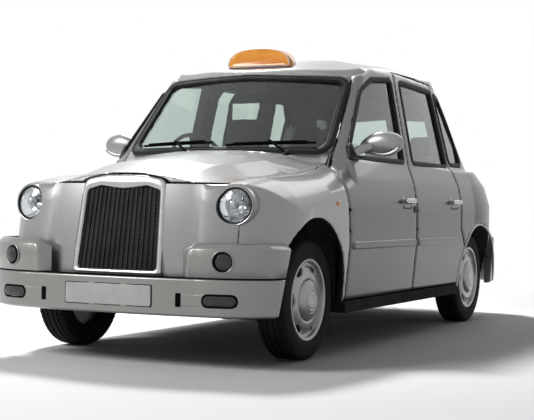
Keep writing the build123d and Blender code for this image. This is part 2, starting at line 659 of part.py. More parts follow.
INSETS = (
    -PROUD, 0.0, FLANGE, GLASS_OUTER, GLASS_INNER, SKIN, ROOF_THICKNESS, DOOR_THICKNESS, FRAME_OUTER,
    FRAME_INNER,
)
BODY = {inset: body_shape(inset) for inset in INSETS}
FRONT_ARCH = cross_rod(FRONT_ARCH_X, FRONT_ARCH_CENTRE, FRONT_ARCH_RADIUS)
REAR_ARCH = cross_rod(REAR_ARCH_X, REAR_ARCH_CENTRE, REAR_ARCH_RADIUS)


def layer(outer, inner, region):
    """The body's wall between two insets, inside a region."""
    return (BODY[outer] & region) - BODY[inner]


def pane(region):
    """A pane of glass that follows the body inside its opening."""
    return layer(GLASS_OUTER, GLASS_INNER, region)


# ---------------------------------------------------------------- doors
def handle(y_middle):
    """A door pull: a bar on two feet, standing off the door's skin."""
    z = (HANDLE_Z - HANDLE_HALF_HEIGHT, HANDLE_Z + HANDLE_HALF_HEIGHT)
    bar_x = (HANDLE_FACE + HANDLE_BAR[0], HANDLE_FACE + HANDLE_BAR[1])
    pull = block(bar_x, (y_middle - HANDLE_HALF, y_middle + HANDLE_HALF), z)
    half, half_height = HANDLE_FOOT
    for y in (y_middle - HANDLE_FOOT_PITCH, y_middle + HANDLE_FOOT_PITCH):
        foot_z = (HANDLE_Z - half_height, HANDLE_Z + half_height)
        pull += block((HANDLE_FACE - half, bar_x[0]), (y - half, y + half), foot_z)
    return pull


def hinge_leaves(hinge_y):
    """The fixed leaves of a door's two hinges, each ending in the pin that the door turns on."""
    leaves = []
    for z in LEAF_Z:
        reach = LEAF_HALF + DOOR_PIN_REACH
        leaf_y = (hinge_y - LEAF_SHEET, hinge_y + LEAF_SHEET)
        leaves.append(block((LEAF_ROOT_X, HINGE_X), leaf_y, (z - LEAF_HALF, z + LEAF_HALF)))
        leaves.append(upright((HINGE_X, hinge_y), (z - reach, z + reach), DOOR_PIN_RADIUS))
    return leaves[0].fuse(*leaves[1:])


def leaf_rooms(hinge_y, front, outer):
    """The slots that hinge leaves need in what they pass through or swing in."""
    half = LEAF_HALF + LEAF_CLEARANCE
    y = (front, hinge_y + LEAF_SHEET + LEAF_CLEARANCE)
    rooms = [block((LEAF_SLOT_X[0], outer), y, (z - half, z + half)) for z in LEAF_Z]
    return rooms[0].fuse(*rooms[1:])


def pin_bores(hinge_y):
    """The bores in a door for its hinge pins."""
    reach = LEAF_HALF + DOOR_PIN_REACH + END_CLEARANCE
    bore_radius = DOOR_PIN_RADIUS + HUB_CLEARANCE
    bores = [upright((HINGE_X, hinge_y), (z - reach, z + reach), bore_radius) for z in LEAF_Z]
    return bores[0].fuse(*bores[1:])


def door_limit(gap):
    """The space that the doors' walls may take in the front view, moved inwards by a gap."""
    return front_prism(*((x - gap, z) for x, z in DOOR_INNER_LIMIT), *DOOR_OUTER_LIMIT, y=DOOR_RUN)


def door(outline, window, relief, handle_y, hinge_y):
    """A door: wall of constant thickness, stepped at its free edge, with its window, pull and hinge slots."""
    panel = layer(0.0, DOOR_THICKNESS, side_prism(*outline, grow=-PANEL_GAP / 2) & door_limit(0.0))
    panel -= BODY[FLANGE] & relief
    panel -= side_prism(*window, radius=WINDOW_RADIUS)
    panel -= REAR_ARCH
    panel -= leaf_rooms(hinge_y, hinge_y - LEAF_SWEEP, HINGE_X + LEAF_SHEET)
    panel -= pin_bores(hinge_y)
    return panel + (handle(handle_y) - BODY[DOOR_THICKNESS])


def slanted_strip(a, b, width):
    """A strip of the side view from a width ahead of the line a to b to well behind it."""
    return side_prism(
        (a[0] - width, a[1]), (b[0] - width, b[1]), (b[0] + RELIEF_REACH, b[1]), (a[0] + RELIEF_REACH, a[1]))


relief_width = PANEL_GAP / 2 + FLANGE_RELIEF
front_relief = slanted_strip(*FRONT_RELIEF, relief_width)
rear_relief = slanted_strip(*REAR_RELIEF, relief_width)
for end, outline, window, relief, handle_y, hinge_y in (
    ("front", FRONT_DOOR, FRONT_WINDOW, front_relief, FRONT_HANDLE_Y, FRONT_HINGE_Y),
    ("rear", REAR_DOOR, REAR_WINDOW, rear_relief, REAR_HANDLE_Y, REAR_HINGE_Y),
):
    keep_pair(f"door_{end}", door(outline, window, relief, handle_y, hinge_y))
    keep_pair(f"door_glass_{end}", pane(side_prism(*window, radius=WINDOW_RADIUS)))

screen_hole = front_prism(*WINDSCREEN, y=SCREEN_DEPTH)
back_hole = front_prism(*BACKLIGHT, y=BACK_DEPTH)
quarter_hole = side_prism(*QUARTER_WINDOW, radius=WINDOW_RADIUS)
keep("windscreen", across(pane(screen_hole)))
keep("rear_glass", across(pane(back_hole)), both_sides(pane(quarter_hole)))


# ---------------------------------------------------------------- body sides, roof and rear
def side_shell():
    """Left wall of the body with its door frames, hinge spaces, arch and window openings."""
    shell = layer(0.0, FRAME_INNER, side_prism(*BODY_SIDE_FRONT, *GUTTER[1:], *BODY_SIDE_REAR, x=(0.0, BEYOND)))
    doorways = side_prism(*FRONT_DOOR, grow=PANEL_GAP / 2) + side_prism(*REAR_DOOR, grow=PANEL_GAP / 2)
    shell -= (doorways & door_limit(PANEL_GAP)) - BODY[FRAME_OUTER]
    for outline in (FRONT_DOOR, REAR_DOOR):
        shell -= side_prism(*outline, grow=-APERTURE_LIP)
    for hinge_y in (FRONT_HINGE_Y, REAR_HINGE_Y):
        shell -= upright((HINGE_X, hinge_y), (HINGE_SWEEP_LOW, WAIST_Z), HINGE_SWEEP)
    shell -= upright((HINGE_X, FRONT_HINGE_Y), (NOSE_SWEEP_LOW, WAIST_Z), NOSE_SWEEP)
    shell -= block(*NOSE_POCKET)
    shell -= leaf_rooms(FRONT_HINGE_Y, FRONT_HINGE_Y - LEAF_SHEET - LEAF_CLEARANCE, LEAF_SLOT_X[1])
    shell += hinge_leaves(REAR_HINGE_Y)
    for z in LEAF_Z:
        pad_y = (B_SEAM - LEAF_PAD_LAP, REAR_HINGE_Y + LEAF_SHEET)
        shell += block((LEAF_ROOT_X, LEAF_PAD_X), pad_y, (z - LEAF_HALF, z + LEAF_HALF))
    return shell - REAR_ARCH - quarter_hole - screen_hole - back_hole


keep("body_sides", across(side_shell() - block(*SCUTTLE_ZONE) - block(*REAR_ZONE)))
keep("roof_panel", across(layer(0.0, ROOF_THICKNESS, side_prism(*GUTTER, *ROOF_ZONE_TOP, x=(0.0, BEYOND)))))


def boot_hinge_fixed(hinge):
    """The pin of one boot hinge and the lug that holds it on the panel over the lid."""
    eye_start, eye_end, lug_end = BOOT_HINGE_X
    lug_y = (hinge[0] - BOOT_LUG_Y[0], hinge[0] + BOOT_LUG_Y[1])
    lug_z = (hinge[1] - BOOT_LUG_Z[0], hinge[1] + BOOT_LUG_Z[1])
    lug = block((eye_end + END_CLEARANCE, lug_end), lug_y, lug_z)
    return cross_rod((eye_start, lug_end), hinge, BOOT_PIN_RADIUS) + lug


def boot_hinge_moving(hinge):
    """The eye of one boot hinge and its strap down to the lid's upper edge."""
    eye_x = BOOT_HINGE_X[:2]
    strap_y = (hinge[0] - BOOT_STRAP[0], hinge[0] + BOOT_STRAP[1])
    strap_z = (BOOT_LID_Z[1] - BOOT_EYE_RADIUS, hinge[1])
    return cross_rod(eye_x, hinge, BOOT_EYE_RADIUS) + block(eye_x, strap_y, strap_z)


lid_low, lid_high = BOOT_LID_Z
boot_hinge = (tail_at(lid_high + PANEL_GAP), lid_high + PANEL_GAP)
rear_wall = layer(0.0, ROOF_THICKNESS, block(*REAR_ZONE))
lid_hole = block((0.0, BOOT_LID_HALF + PANEL_GAP), BOOT_DEPTH, (lid_low - PANEL_GAP, lid_high + PANEL_GAP))
lid_outline = block((0.0, BOOT_LID_HALF), BOOT_DEPTH, BOOT_LID_Z)
eye_room_x = (BOOT_HINGE_X[0] - BOOT_EYE_CLEARANCE, BOOT_HINGE_X[1] + END_CLEARANCE)
eye_room = cross_rod(eye_room_x, boot_hinge, BOOT_EYE_RADIUS + BOOT_EYE_CLEARANCE)
eye_bore_x = (BOOT_HINGE_X[0] - END_CLEARANCE, BOOT_HINGE_X[1] + END_CLEARANCE)
eye_bore = cross_rod(eye_bore_x, boot_hinge, BOOT_PIN_RADIUS + HUB_CLEARANCE)
keep("rear_panel", across(((rear_wall - lid_hole) - eye_room) + boot_hinge_fixed(boot_hinge)))
keep("boot_lid", across(((rear_wall & lid_outline) + boot_hinge_moving(boot_hinge)) - eye_bore))


# ---------------------------------------------------------------- wings, nose panel and bonnet
def grille_outline(grow):
    """Half front view of the grille, grown at its sides and top."""
    crown = (0.0, GRILLE_CROWN + grow)
    shoulder = (GRILLE_SHOULDER[0], GRILLE_CROWN - GRILLE_SHOULDER[1] + grow)
    corners = (GRILLE_HALF_BOTTOM + grow, GRILLE_BOTTOM), (GRILLE_HALF_TOP + grow, GRILLE_TOP + grow)
    return (0.0, GRILLE_BOTTOM), *corners, (shoulder, crown)


def goose_neck():
    """A bonnet hinge arm: an eye on the pin, a leg down under the cowl, a run forward and a leg up."""
    x, (y, z), half = BONNET_ARM_X, BONNET_HINGE, BONNET_ARM_HALF
    front, low = y - BONNET_ARM_RUN, z - BONNET_ARM_DROP
    arm = cross_rod(x, BONNET_HINGE, BONNET_EYE_RADIUS)
    arm += block(x, (y - half, y + half), (low - half, z))
    arm += block(x, (front - half, y + half), (low - half, low + half))
    arm += block(x, (front - half, front + half), (low - half, z)) & BODY[FLANGE]
    bore_x = (x[0] - END_CLEARANCE, x[1] + END_CLEARANCE)
    return arm - cross_rod(bore_x, BONNET_HINGE, BONNET_PIN_RADIUS + HUB_CLEARANCE)


bonnet_zone = plan_prism((0.0, AHEAD), (BONNET_SEAM[0][0], AHEAD), *BONNET_SEAM, (0.0, BONNET_REAR), z=BONNET_Z)
wing_plan = [(x + PANEL_GAP, y) for x, y in BONNET_SEAM]
wing_zone = plan_prism((wing_plan[0][0], AHEAD), *wing_plan, *WING_BACK, (WING_BACK[1][0], AHEAD), z=WING_Z)
wing_zone &= side_prism(*WING_SIDE_VIEW, x=(0.0, BEYOND))
wing_zone -= block((0.0, WING_SEAM_X), (AHEAD, NOSE_BACK), (WING_Z[0], BONNET_Z[0] - PANEL_GAP))
nose_zone = block((0.0, WING_SEAM_X), (AHEAD, NOSE_BACK), (NOSE_PANEL_LOW, BONNET_Z[0] - PANEL_GAP))
lamp_hole_y = (HEADLAMP_FRONT - 200.0, HEADLAMP_FRONT + 200.0)
lamp_hole = lengthwise(HEADLAMP, lamp_hole_y, HEADLAMP_RADIUS + LAMP_HOLE_CLEARANCE)
grille_block = front_prism(*grille_outline(0.0), y=GRILLE_CUT)
front_skin = BODY[0.0] - BODY[SKIN]
keep("front_wings", both_sides((front_skin & wing_zone) - FRONT_ARCH - lamp_hole))
keep("front_panel", across((front_skin & nose_zone) - lamp_hole - grille_block))
bonnet_skin = (front_skin & bonnet_zone) - front_prism(*grille_outline(PANEL_GAP), y=GRILLE_CUT)
keep("bonnet", across(bonnet_skin + goose_neck()))


# ---------------------------------------------------------------- scuttle
def wheel_house():
    """Inner wing plate, shelf over the wheel and the closing wall ahead of it."""
    inner, sheet = INNER_WING_X
    plate = block(INNER_WING_X, (WELL_FRONT, BULKHEAD_Y[0]), INNER_WING_Z)
    shelf = block((inner, 900.0), (WELL_FRONT, WELL_BACK), WELL_SHELF_Z)
    shelf += block((inner, POST_X[0]), (WELL_LAP, BULKHEAD_Y[0]), WELL_SHELF_Z)
    front = block((inner, 900.0), (WELL_FRONT, WELL_FRONT + WELL_SHEET), (WELL_WALL_LOW, WELL_SHELF_Z[1]))
    window_y = (FRONT_AXLE - ARM_WINDOW_HALF, FRONT_AXLE + ARM_WINDOW_HALF)
    return ((plate + shelf + front) & BODY[SKIN]) - block((inner - 50.0, sheet + 34.0), window_y, ARM_WINDOW_Z)


def cowl():
    """The panel between bonnet and windscreen, with the pockets and pins of the bonnet hinges."""
    corner_y = BONNET_SEAM[-1][1] + PANEL_GAP
    plan = (
        (0.0, BONNET_REAR + PANEL_GAP), (BONNET_SEAM[-1][0], corner_y), (SCUTTLE_CORNER_X, corner_y),
        (SCUTTLE_CORNER_X, SCUTTLE_REAR), (0.0, SCUTTLE_REAR))
    panel = layer(0.0, ROOF_THICKNESS, plan_prism(*plan, z=(SCUTTLE_LOW, SCUTTLE_TOP))) - screen_hole
    arm_start, arm_end = BONNET_ARM_X
    pocket_x = (arm_start - BONNET_POCKET_SIDE[0], arm_end + BONNET_POCKET_SIDE[1])
    panel -= block(pocket_x, BONNET_POCKET_Y, BONNET_POCKET_Z)
    pin_x = (arm_start - BONNET_PIN_LAP[0], arm_end + BONNET_PIN_LAP[1])
    return panel + cross_rod(pin_x, BONNET_HINGE, BONNET_PIN_RADIUS)


def bulkhead():
    """The wall between engine and cabin with a foot on the floor's front edge."""
    wall = block((0.0, BULKHEAD_HALF), BULKHEAD_Y, (FLOOR_Z[0], SCUTTLE_TOP)) & BODY[ROOF_THICKNESS]
    wall += block(BULKHEAD_WING_X, BULKHEAD_Y, (FLOOR_Z[0], SCUTTLE_TOP)) & BODY[FRAME_INNER]
    return wall + block((0.0, SILL_INNER), BULKHEAD_Y, (FLOOR_Z[0], DOOR_BOTTOM + 2.0))


post = block(POST_X, POST_Y, (DOOR_BOTTOM, POST_TOP)) & BODY[FRAME_INNER]
keep("scuttle", across(cowl() + bulkhead() + (post + hinge_leaves(FRONT_HINGE_Y)) + wheel_house()))


# ---------------------------------------------------------------- bumpers, grille and lamps
def bumper_outline(z, inset, end, sign):
    """Half plan outline of a bumper at one height; sign is -1 at the front and 1 at the rear."""
    def at(x, back):
        return (x, end - sign * (back + inset))
    side = BUMPER_SIDE - inset
    middle, turn = (at(*point) for point in BUMPER_FRONT_ARC)
    corner, corner_end = (at(side - x, back) for x, back in BUMPER_CORNER_ARC)
    return closed_wire(
        in_plan(z), at(0.0, 0.0), (middle, turn), (corner, corner_end), at(side, BUMPER_SIDE_START),
        at(side, BUMPER_RUN), at(0.0, BUMPER_RUN))


def bumper(end, sign, side_end, arch):
    """Half a bumper: a wall following its plan outline and seated on the body panels."""
    low, high = BUMPER_Z[0], BUMPER_Z[2]
    outer_levels = ((low, BUMPER_TUCK), (BUMPER_SWELL_Z, 0.0), (high, BUMPER_LEAN))
    inner_levels = ((low - 10.0, BUMPER_WALL), (high + 10.0, BUMPER_WALL))
    outer, inner = (
        Solid.make_loft([bumper_outline(z, inset, end, sign) for z, inset in levels], ruled=True)
        for levels in (outer_levels, inner_levels))
    (upper_y, upper_z), (lower_y, lower_z) = side_end
    past = end + sign * 50.0
    keep_side = side_prism(
        (upper_y, upper_z), (lower_y, lower_z), (past, lower_z), (past, upper_z), x=(0.0, BEYOND))
    return ((outer - inner) & keep_side) - BODY[0.0] - arch


front_bumper = bumper(FRONT_END + PLATE_PROUD, -1.0, BUMPER_END, FRONT_ARCH)
front_bumper -= block((0.0, BUMPER_OPENING_X), (AHEAD, aft(-500.0)), (BUMPER_Z[1], 700.0))
front_bumper += block((0.0, PLATE_HALF), (FRONT_END, FRONT_END + PLATE_PAD), PLATE_Z)
indicator = lengthwise(INDICATOR, INDICATOR_Y, INDICATOR_RADIUS)
keep("front_bumper", across(front_bumper - lengthwise(INDICATOR, (AHEAD, aft(-500.0)), INDICATOR_RADIUS)))
keep("bumper_lamps", both_sides(indicator & front_bumper))
rear_bumper = bumper(REAR_END - PLATE_PROUD, 1.0, REAR_BUMPER_END, REAR_ARCH)
rear_bumper += block((0.0, PLATE_HALF), (REAR_END - PLATE_PAD, REAR_END), PLATE_Z)
keep("rear_bumper", across(rear_bumper))

grille_back = GRILLE_FRONT + GRILLE_RAKE
slab = side_prism(
    (GRILLE_FRONT, GRILLE_BOTTOM), (grille_back, GRILLE_CROWN), (grille_back + GRILLE_DEPTH, GRILLE_CROWN),
    (GRILLE_FRONT + GRILLE_DEPTH, GRILLE_BOTTOM), x=(0.0, 400.0))
grille_inner = front_prism(
    (0.0, GRILLE_BOTTOM + GRILLE_BAR), (GRILLE_HALF_BOTTOM - GRILLE_BAR, GRILLE_BOTTOM + GRILLE_BAR),
    (GRILLE_HALF_TOP - GRILLE_BAR, GRILLE_TOP - GRILLE_BAND), (0.0, GRILLE_CROWN - GRILLE_BAND), y=GRILLE_CUT)
keep("grille_surround", across((slab & grille_block) - grille_inner))


def mesh_places(first, end, pitch):
    """Places at an even pitch from the first up to the end."""
    return [first + pitch * step for step in range(math.ceil((end - first) / pitch))]


mesh_y = (aft(-760.0), aft(-560.0))
wires = [
    block((max(0.0, x - MESH_WIRE), x + MESH_WIRE), mesh_y, (GRILLE_BOTTOM, GRILLE_CROWN))
    for x in mesh_places(0.0, GRILLE_HALF_TOP, MESH_PITCH_X)]
wires += [
    block((0.0, GRILLE_HALF_BOTTOM), mesh_y, (z - MESH_WIRE, z + MESH_WIRE))
    for z in mesh_places(MESH_FIRST_Z, GRILLE_TOP - GRILLE_BAR, MESH_PITCH_Z)]
lattice = wires[0].fuse(*wires[1:])
mesh_slab = slab.moved(Location((0, MESH_SETBACK, 0)))
keep("grille_mesh", across(lattice & mesh_slab & grille_inner & grille_block))

lamp_y = (HEADLAMP_FRONT, HEADLAMP_FRONT + HEADLAMP_DEPTH)
rim_y = (HEADLAMP_FRONT - RIM_REACH[0], HEADLAMP_FRONT + RIM_REACH[1])
rim_tube = lengthwise(HEADLAMP, rim_y, HEADLAMP_RADIUS + RIM_PROUD)
rim_tube -= lengthwise(HEADLAMP, lamp_hole_y, HEADLAMP_RADIUS - SEAT_FIT)
keep("headlamps", both_sides(lengthwise(HEADLAMP, lamp_y, HEADLAMP_RADIUS - SEAT_FIT)))
keep("headlamp_rims", both_sides(rim_tube - BODY[0.0]))
keep("tail_lamps", both_sides((BODY[-PROUD] & block(TAIL_LAMP_X, BOOT_DEPTH, TAIL_LAMP_Z)) - BODY[0.0]))

# ---------------------------------------------------------------- mirrors, wipers and roof sign
mirror_case = fillet(block(*MIRROR_CASE).edges(), MIRROR_ROUND)
mirror_mount = rod(*MIRROR_ARM, MIRROR_ARM_RADIUS) + block(*MIRROR_FOOT)
keep_pair("mirror", (mirror_mount - BODY[0.0]) + mirror_case)


def wiper(start, end, pivot):
    """A parked wiper lying on the glass: its blade and the arm from its pivot to the blade's middle."""
    end_top, start_top = ((x, z + WIPER_WIDTH) for x, z in (end, start))
    blade = front_prism(start, end, end_top, start_top, y=WIPER_DEPTH)
    middle = ((start[0] + end[0]) / 2, (start[1] + end[1] + WIPER_WIDTH) / 2)
    pivot_side, middle_side = ((x + WIPER_WIDTH, z) for x, z in (pivot, middle))
    arm = front_prism(pivot, pivot_side, middle_side, middle, y=WIPER_DEPTH)
    return (across(BODY[-PROUD]) & (blade + arm)) - across(BODY[0.0])


keep("wipers", *(wiper(*points) for points in WIPERS))
sign_low, sign_mid, sign_high = SIGN_Z
keep("sign_base", block((-SIGN_HALF, SIGN_HALF), SIGN_Y, (sign_low, sign_mid)) - across(BODY[0.0]))
lens_half = SIGN_HALF - SIGN_STEP
lens = block((-lens_half, lens_half), (SIGN_Y[0] + SIGN_STEP, SIGN_Y[1] - SIGN_STEP), (sign_mid, sign_high))
keep("sign_lens", fillet(lens.edges().filter_by(Axis.Z), SIGN_ROUND))


# ---------------------------------------------------------------- wheels and axles
def wheel_profile(place):
    """Half section of the wheel: barrel, dished disc and raised centre, round the hub bore."""
    return Face(closed_wire(place, *WHEEL_BARREL, *WHEEL_HUB, WHEEL_DOME, *WHEEL_RIM))


def tyre_profile(place):
    """Half section of the tyre, seated on the rim."""
    half = TYRE_WIDTH / 2
    (wall_x, wall_r), (edge_x, edge_r) = TYRE_SHOULDER
    tread_r = TYRE_RADIUS - TREAD_CROWN
    return Face(closed_wire(
        place, (-TYRE_BEAD, RIM_RADIUS), ((-half, TYRE_BULGE), (wall_x - half, wall_r)),
        ((edge_x - half, edge_r), (-TREAD_HALF, tread_r)), ((0.0, TYRE_RADIUS), (TREAD_HALF, tread_r)),
        ((half - edge_x, edge_r), (half - wall_x, wall_r)), ((half, TYRE_BULGE), (TYRE_BEAD, RIM_RADIUS))))


def wheel_pair(y):
    """The left wheel and tyre with their axis across the cab."""
    def place(point):
        return Vector(WHEEL_X + point[0], y, AXLE_Z + point[1])
    axle = Axis((0, y, AXLE_Z), (1, 0, 0))
    wheel = Part() + revolve(wheel_profile(place), axis=axle)
    vent_x = (WHEEL_X + VENT_DEPTH[0], WHEEL_X + VENT_DEPTH[1])
    for step in range(VENT_COUNT):
        angle = 2 * math.pi * step / VENT_COUNT
        centre = (y + VENT_CIRCLE * math.cos(angle), AXLE_Z + VENT_CIRCLE * math.sin(angle))
        wheel -= cross_rod(vent_x, centre, VENT_RADIUS)
    return wheel, Part() + revolve(tyre_profile(place), axis=axle)


for end, y in (("front", FRONT_AXLE), ("rear", REAR_AXLE)):
    wheel, tyre = wheel_pair(y)
    keep_pair(f"wheel_{end}", wheel)
    keep_pair(f"tyre_{end}", tyre)

KINGPIN = (KINGPIN_X, FRONT_AXLE)
front_centre, rear_centre = (FRONT_AXLE, AXLE_Z), (REAR_AXLE, AXLE_Z)
knuckle = upright(KINGPIN, (AXLE_Z - ARM_REACH, AXLE_Z + ARM_REACH), KNUCKLE_RADIUS)
knuckle += cross_rod((KINGPIN_X, WHEEL_X + HUB_SHOULDER), front_centre, STUB_RADIUS)
knuckle += cross_rod((KINGPIN_X, WHEEL_X + SPINDLE_TIP), front_centre, RIM_BORE - HUB_CLEARANCE)
knuckle += cross_rod(FRONT_DRUM_X, front_centre, DRUM_RADIUS)
arm_x = (KINGPIN_X - STEERING_ARM_HALF, KINGPIN_X + STEERING_ARM_HALF)
arm_z = (AXLE_Z - STEERING_ARM_HALF, AXLE_Z + STEERING_ARM_HALF)
knuckle += block(arm_x, (FRONT_AXLE, FRONT_AXLE + STEERING_ARM_REACH), arm_z)
keep_pair("knuckle_front", knuckle - upright(KINGPIN, (0.0, 600.0), PIN_RADIUS + HUB_CLEARANCE))

shoulder_x, tip_x = WHEEL_X + HUB_SHOULDER, WHEEL_X + SPINDLE_TIP
beam = cross_rod((-shoulder_x, shoulder_x), rear_centre, AXLE_TUBE_RADIUS)
beam += cross_rod((-tip_x, tip_x), rear_centre, RIM_BORE - HUB_CLEARANCE)
beam += cross_rod(REAR_DRUM_X, rear_centre, DRUM_RADIUS)
beam += cross_rod((-REAR_DRUM_X[1], -REAR_DRUM_X[0]), rear_centre, DRUM_RADIUS)
differential_radius, differential_half = DIFFERENTIAL
keep("rear_axle", beam + cross_rod((-differential_half, differential_half), rear_centre, differential_radius))


# ---------------------------------------------------------------- chassis, engine and exhaust
def kingpin_fork():
    """The two front arms of one side joined by the kingpin that carries the knuckle."""
    tip = ARM_REACH + ARM_SHEET
    fork = upright(KINGPIN, (AXLE_Z - tip, AXLE_Z + tip), PIN_RADIUS)
    for low in (AXLE_Z - tip - SEAT_FIT, AXLE_Z + ARM_REACH + SEAT_FIT):
        arm_z = (low, low + ARM_SHEET)
        fork += block((RAIL_X[1], KINGPIN_X), (FRONT_AXLE - ARM_HALF, FRONT_AXLE + ARM_HALF), arm_z)
        fork += upright(KINGPIN, arm_z, ARM_HALF)
    return fork


def rail_length(start, end):
    """One straight length of chassis rail; the next one meets it face to face."""
    (y0, (low0, high0)), (y1, (low1, high1)) = start, end
    return side_prism((y0, low0), (y0, high0), (y1, high1), (y1, low1), x=RAIL_X)


chassis = [rail_length(start, end) for start, end in RAIL_LENGTHS]
chassis.append(block(RAIL_X, RAIL_NOSE, RAIL_FRONT_Z) & BODY[SKIN])
chassis.append(block(RAIL_X, RAIL_TAIL, RAIL_REAR_Z) & BODY[ROOF_THICKNESS])
chassis += [block(*member) for member in SIDE_MEMBERS]
chassis.append(kingpin_fork())
cross_members = [across(block(*member)) for member in CROSS_MEMBERS]
keep("chassis_frame", *(both_sides(piece) for piece in chassis), *cross_members)

engine = block(*ENGINE_BLOCK) + block(*ENGINE_SUMP) - block(*ENGINE_NOTCH)
pipes = [rod((EXHAUST_X, *start), (EXHAUST_X, *end), radius) for start, end, radius in EXHAUST_PIPES]
keep("engine_block", engine + block(*ENGINE_MOUNT))
keep("exhaust", block(*SILENCER) + (pipes[0].fuse(*pipes[1:]) - engine))


# ---------------------------------------------------------------- floor, sills, rear floor and wheel wells
def sill(sign):
    """The sill of one side with the lip under its doors."""
    inner, lip, outer = sorted((sign * SILL_INNER, sign * SILL_LIP, sign * SILL_X))
    lip_x = sorted((sign * SILL_INNER, sign * SILL_LIP))
    run = (SILL_FRONT, REAR_FLOOR_Y)
    return block((min(inner, lip), outer), run, SILL_Z) + block(lip_x, run, (SILL_Z[1], DOOR_BOTTOM))


floor = block((-FLOOR_HALF, FLOOR_HALF), (BULKHEAD_Y[1], REAR_FLOOR_Y), FLOOR_Z)
keep("floor_pan", floor + sill(-1.0) + sill(1.0))
riser_y = (REAR_FLOOR_Y, REAR_FLOOR_Y + WELL_SHEET)
well_y = (riser_y[1], REAR_WELL_BACK)
low_riser = block((-SILL_INNER, SILL_INNER), riser_y, (FLOOR_Z[0], DOOR_BOTTOM))
high_riser = across(block((0.0, 900.0), riser_y, (DOOR_BOTTOM, REAR_WELL_Z[1])) & BODY[FRAME_INNER])
boot_floor = block((0.0, REAR_FLOOR_HALF), (riser_y[1], REAR_FLOOR_BACK), REAR_FLOOR_Z) & BODY[FRAME_INNER]
well = block(REAR_WELL_X, well_y, (REAR_WELL_LOW, REAR_WELL_Z[0]))
well += block((REAR_WELL_X[0], 900.0), well_y, REAR_WELL_Z)
keep("rear_floor", low_riser, high_riser, across(boot_floor), both_sides(well & BODY[FRAME_INNER]))

# ---------------------------------------------------------------- dashboard and steering wheel
column_axis = Vector(*COLUMN_DIRECTION).normalized()
wheel_plane = Plane(origin=Vector(*WHEEL_CENTRE), z_dir=column_axis)


def along_column(distance):
    """A point of the steering column's axis, from the wheel's centre towards the driver."""
    return tuple(Vector(*WHEEL_CENTRE) + column_axis * distance)


def column_rod(span, radius):
    """A round bar on the steering column's axis between two distances."""
    return rod(along_column(span[0]), along_column(span[1]), radius)


dash = across((block(*DASH_MIDDLE) + block(*DASH_END)) & BODY[FRAME_INNER])
shaft_bore = column_rod((-COLUMN_BORE_DEPTH, 0.0), SHAFT_RADIUS + HUB_CLEARANCE)
keep("dashboard", (dash + column_rod(COLUMN_SPAN, COLUMN_RADIUS)) - shaft_bore)
grip_radius = STEERING_RADIUS - STEERING_GRIP
steering = wheel_plane * Torus(grip_radius, STEERING_GRIP)
steering += column_rod(BOSS_SPAN, BOSS_RADIUS)
steering += column_rod((-SHAFT_LENGTH, 0.0), SHAFT_RADIUS)
for spoke in range(SPOKE_COUNT):
    angle = 2 * math.pi * spoke / SPOKE_COUNT - math.pi / 2
    tip = wheel_plane.from_local_coords((grip_radius * math.cos(angle), grip_radius * math.sin(angle), 0.0))
    steering += rod(WHEEL_CENTRE, tuple(tip), SPOKE_RADIUS)
keep("steering_wheel", steering)

# ---------------------------------------------------------------- seats and partition
seat = side_prism(*DRIVER_SEAT, x=(DRIVER_X - SEAT_HALF[0], DRIVER_X + SEAT_HALF[1]))
keep("driver_seat", seat + placed_block(DRIVER_HEADREST, DRIVER_X))
bench = side_prism(*BENCH, x=(-BENCH_HALF, BENCH_HALF))
for x in BENCH_PLACES:
    bench += placed_block(BENCH_HEADREST, x)
keep("rear_bench", bench & across(BODY[FRAME_INNER]))
partition_room = BODY[FRAME_INNER] + block((0.0, SILL_INNER), (aft(1600.0), aft(1800.0)), (250.0, DOOR_BOTTOM))
partition = across(block((0.0, 900.0), PARTITION_Y, (FLOOR_Z[1], PARTITION_TOP)) & partition_room)
partition -= block(PARTITION_WINDOW[0], (aft(1650.0), aft(1750.0)), PARTITION_WINDOW[1])
for x in TIP_UP_PLACES:
    partition += placed_block(TIP_UP_SEAT, x)
keep("partition", partition)
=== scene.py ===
"""A silver London-style taxi cab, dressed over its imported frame.

Every piece is worked out in metres in the frame's own axes: +Z up, the cab faces -Y and its left side is +X.
Heights are above the ground, and distances along the cab are given behind the front axle and turned into y by aft().
"""

from __future__ import annotations

import json
import logging
import math
from dataclasses import dataclass, field
from enum import Enum
from typing import Callable, Sequence

import bmesh
import bpy
import numpy as np
from mathutils import Matrix, Vector

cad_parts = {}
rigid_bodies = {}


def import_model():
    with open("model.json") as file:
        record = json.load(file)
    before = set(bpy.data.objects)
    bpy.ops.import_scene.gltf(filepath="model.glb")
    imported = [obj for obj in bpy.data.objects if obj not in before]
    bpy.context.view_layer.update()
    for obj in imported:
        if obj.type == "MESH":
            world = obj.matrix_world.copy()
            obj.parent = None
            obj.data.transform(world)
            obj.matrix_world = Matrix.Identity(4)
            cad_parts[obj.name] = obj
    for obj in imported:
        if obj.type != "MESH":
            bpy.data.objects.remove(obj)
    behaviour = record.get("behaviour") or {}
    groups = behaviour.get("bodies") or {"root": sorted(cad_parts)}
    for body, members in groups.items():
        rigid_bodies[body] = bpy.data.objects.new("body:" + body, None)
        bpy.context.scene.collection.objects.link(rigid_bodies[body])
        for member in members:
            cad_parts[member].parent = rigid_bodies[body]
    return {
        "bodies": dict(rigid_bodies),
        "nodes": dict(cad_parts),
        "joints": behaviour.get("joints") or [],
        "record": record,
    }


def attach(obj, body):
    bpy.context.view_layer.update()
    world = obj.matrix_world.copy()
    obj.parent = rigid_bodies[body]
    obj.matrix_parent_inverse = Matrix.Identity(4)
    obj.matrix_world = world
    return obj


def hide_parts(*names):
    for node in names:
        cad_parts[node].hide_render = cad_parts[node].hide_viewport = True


Array = np.ndarray
Colour = tuple[float, float, float]
Point = tuple[float, float, float]
Ends = tuple[float, float]
Node = bpy.types.Node
Piece = bpy.types.Object
Socket = bpy.types.NodeSocket
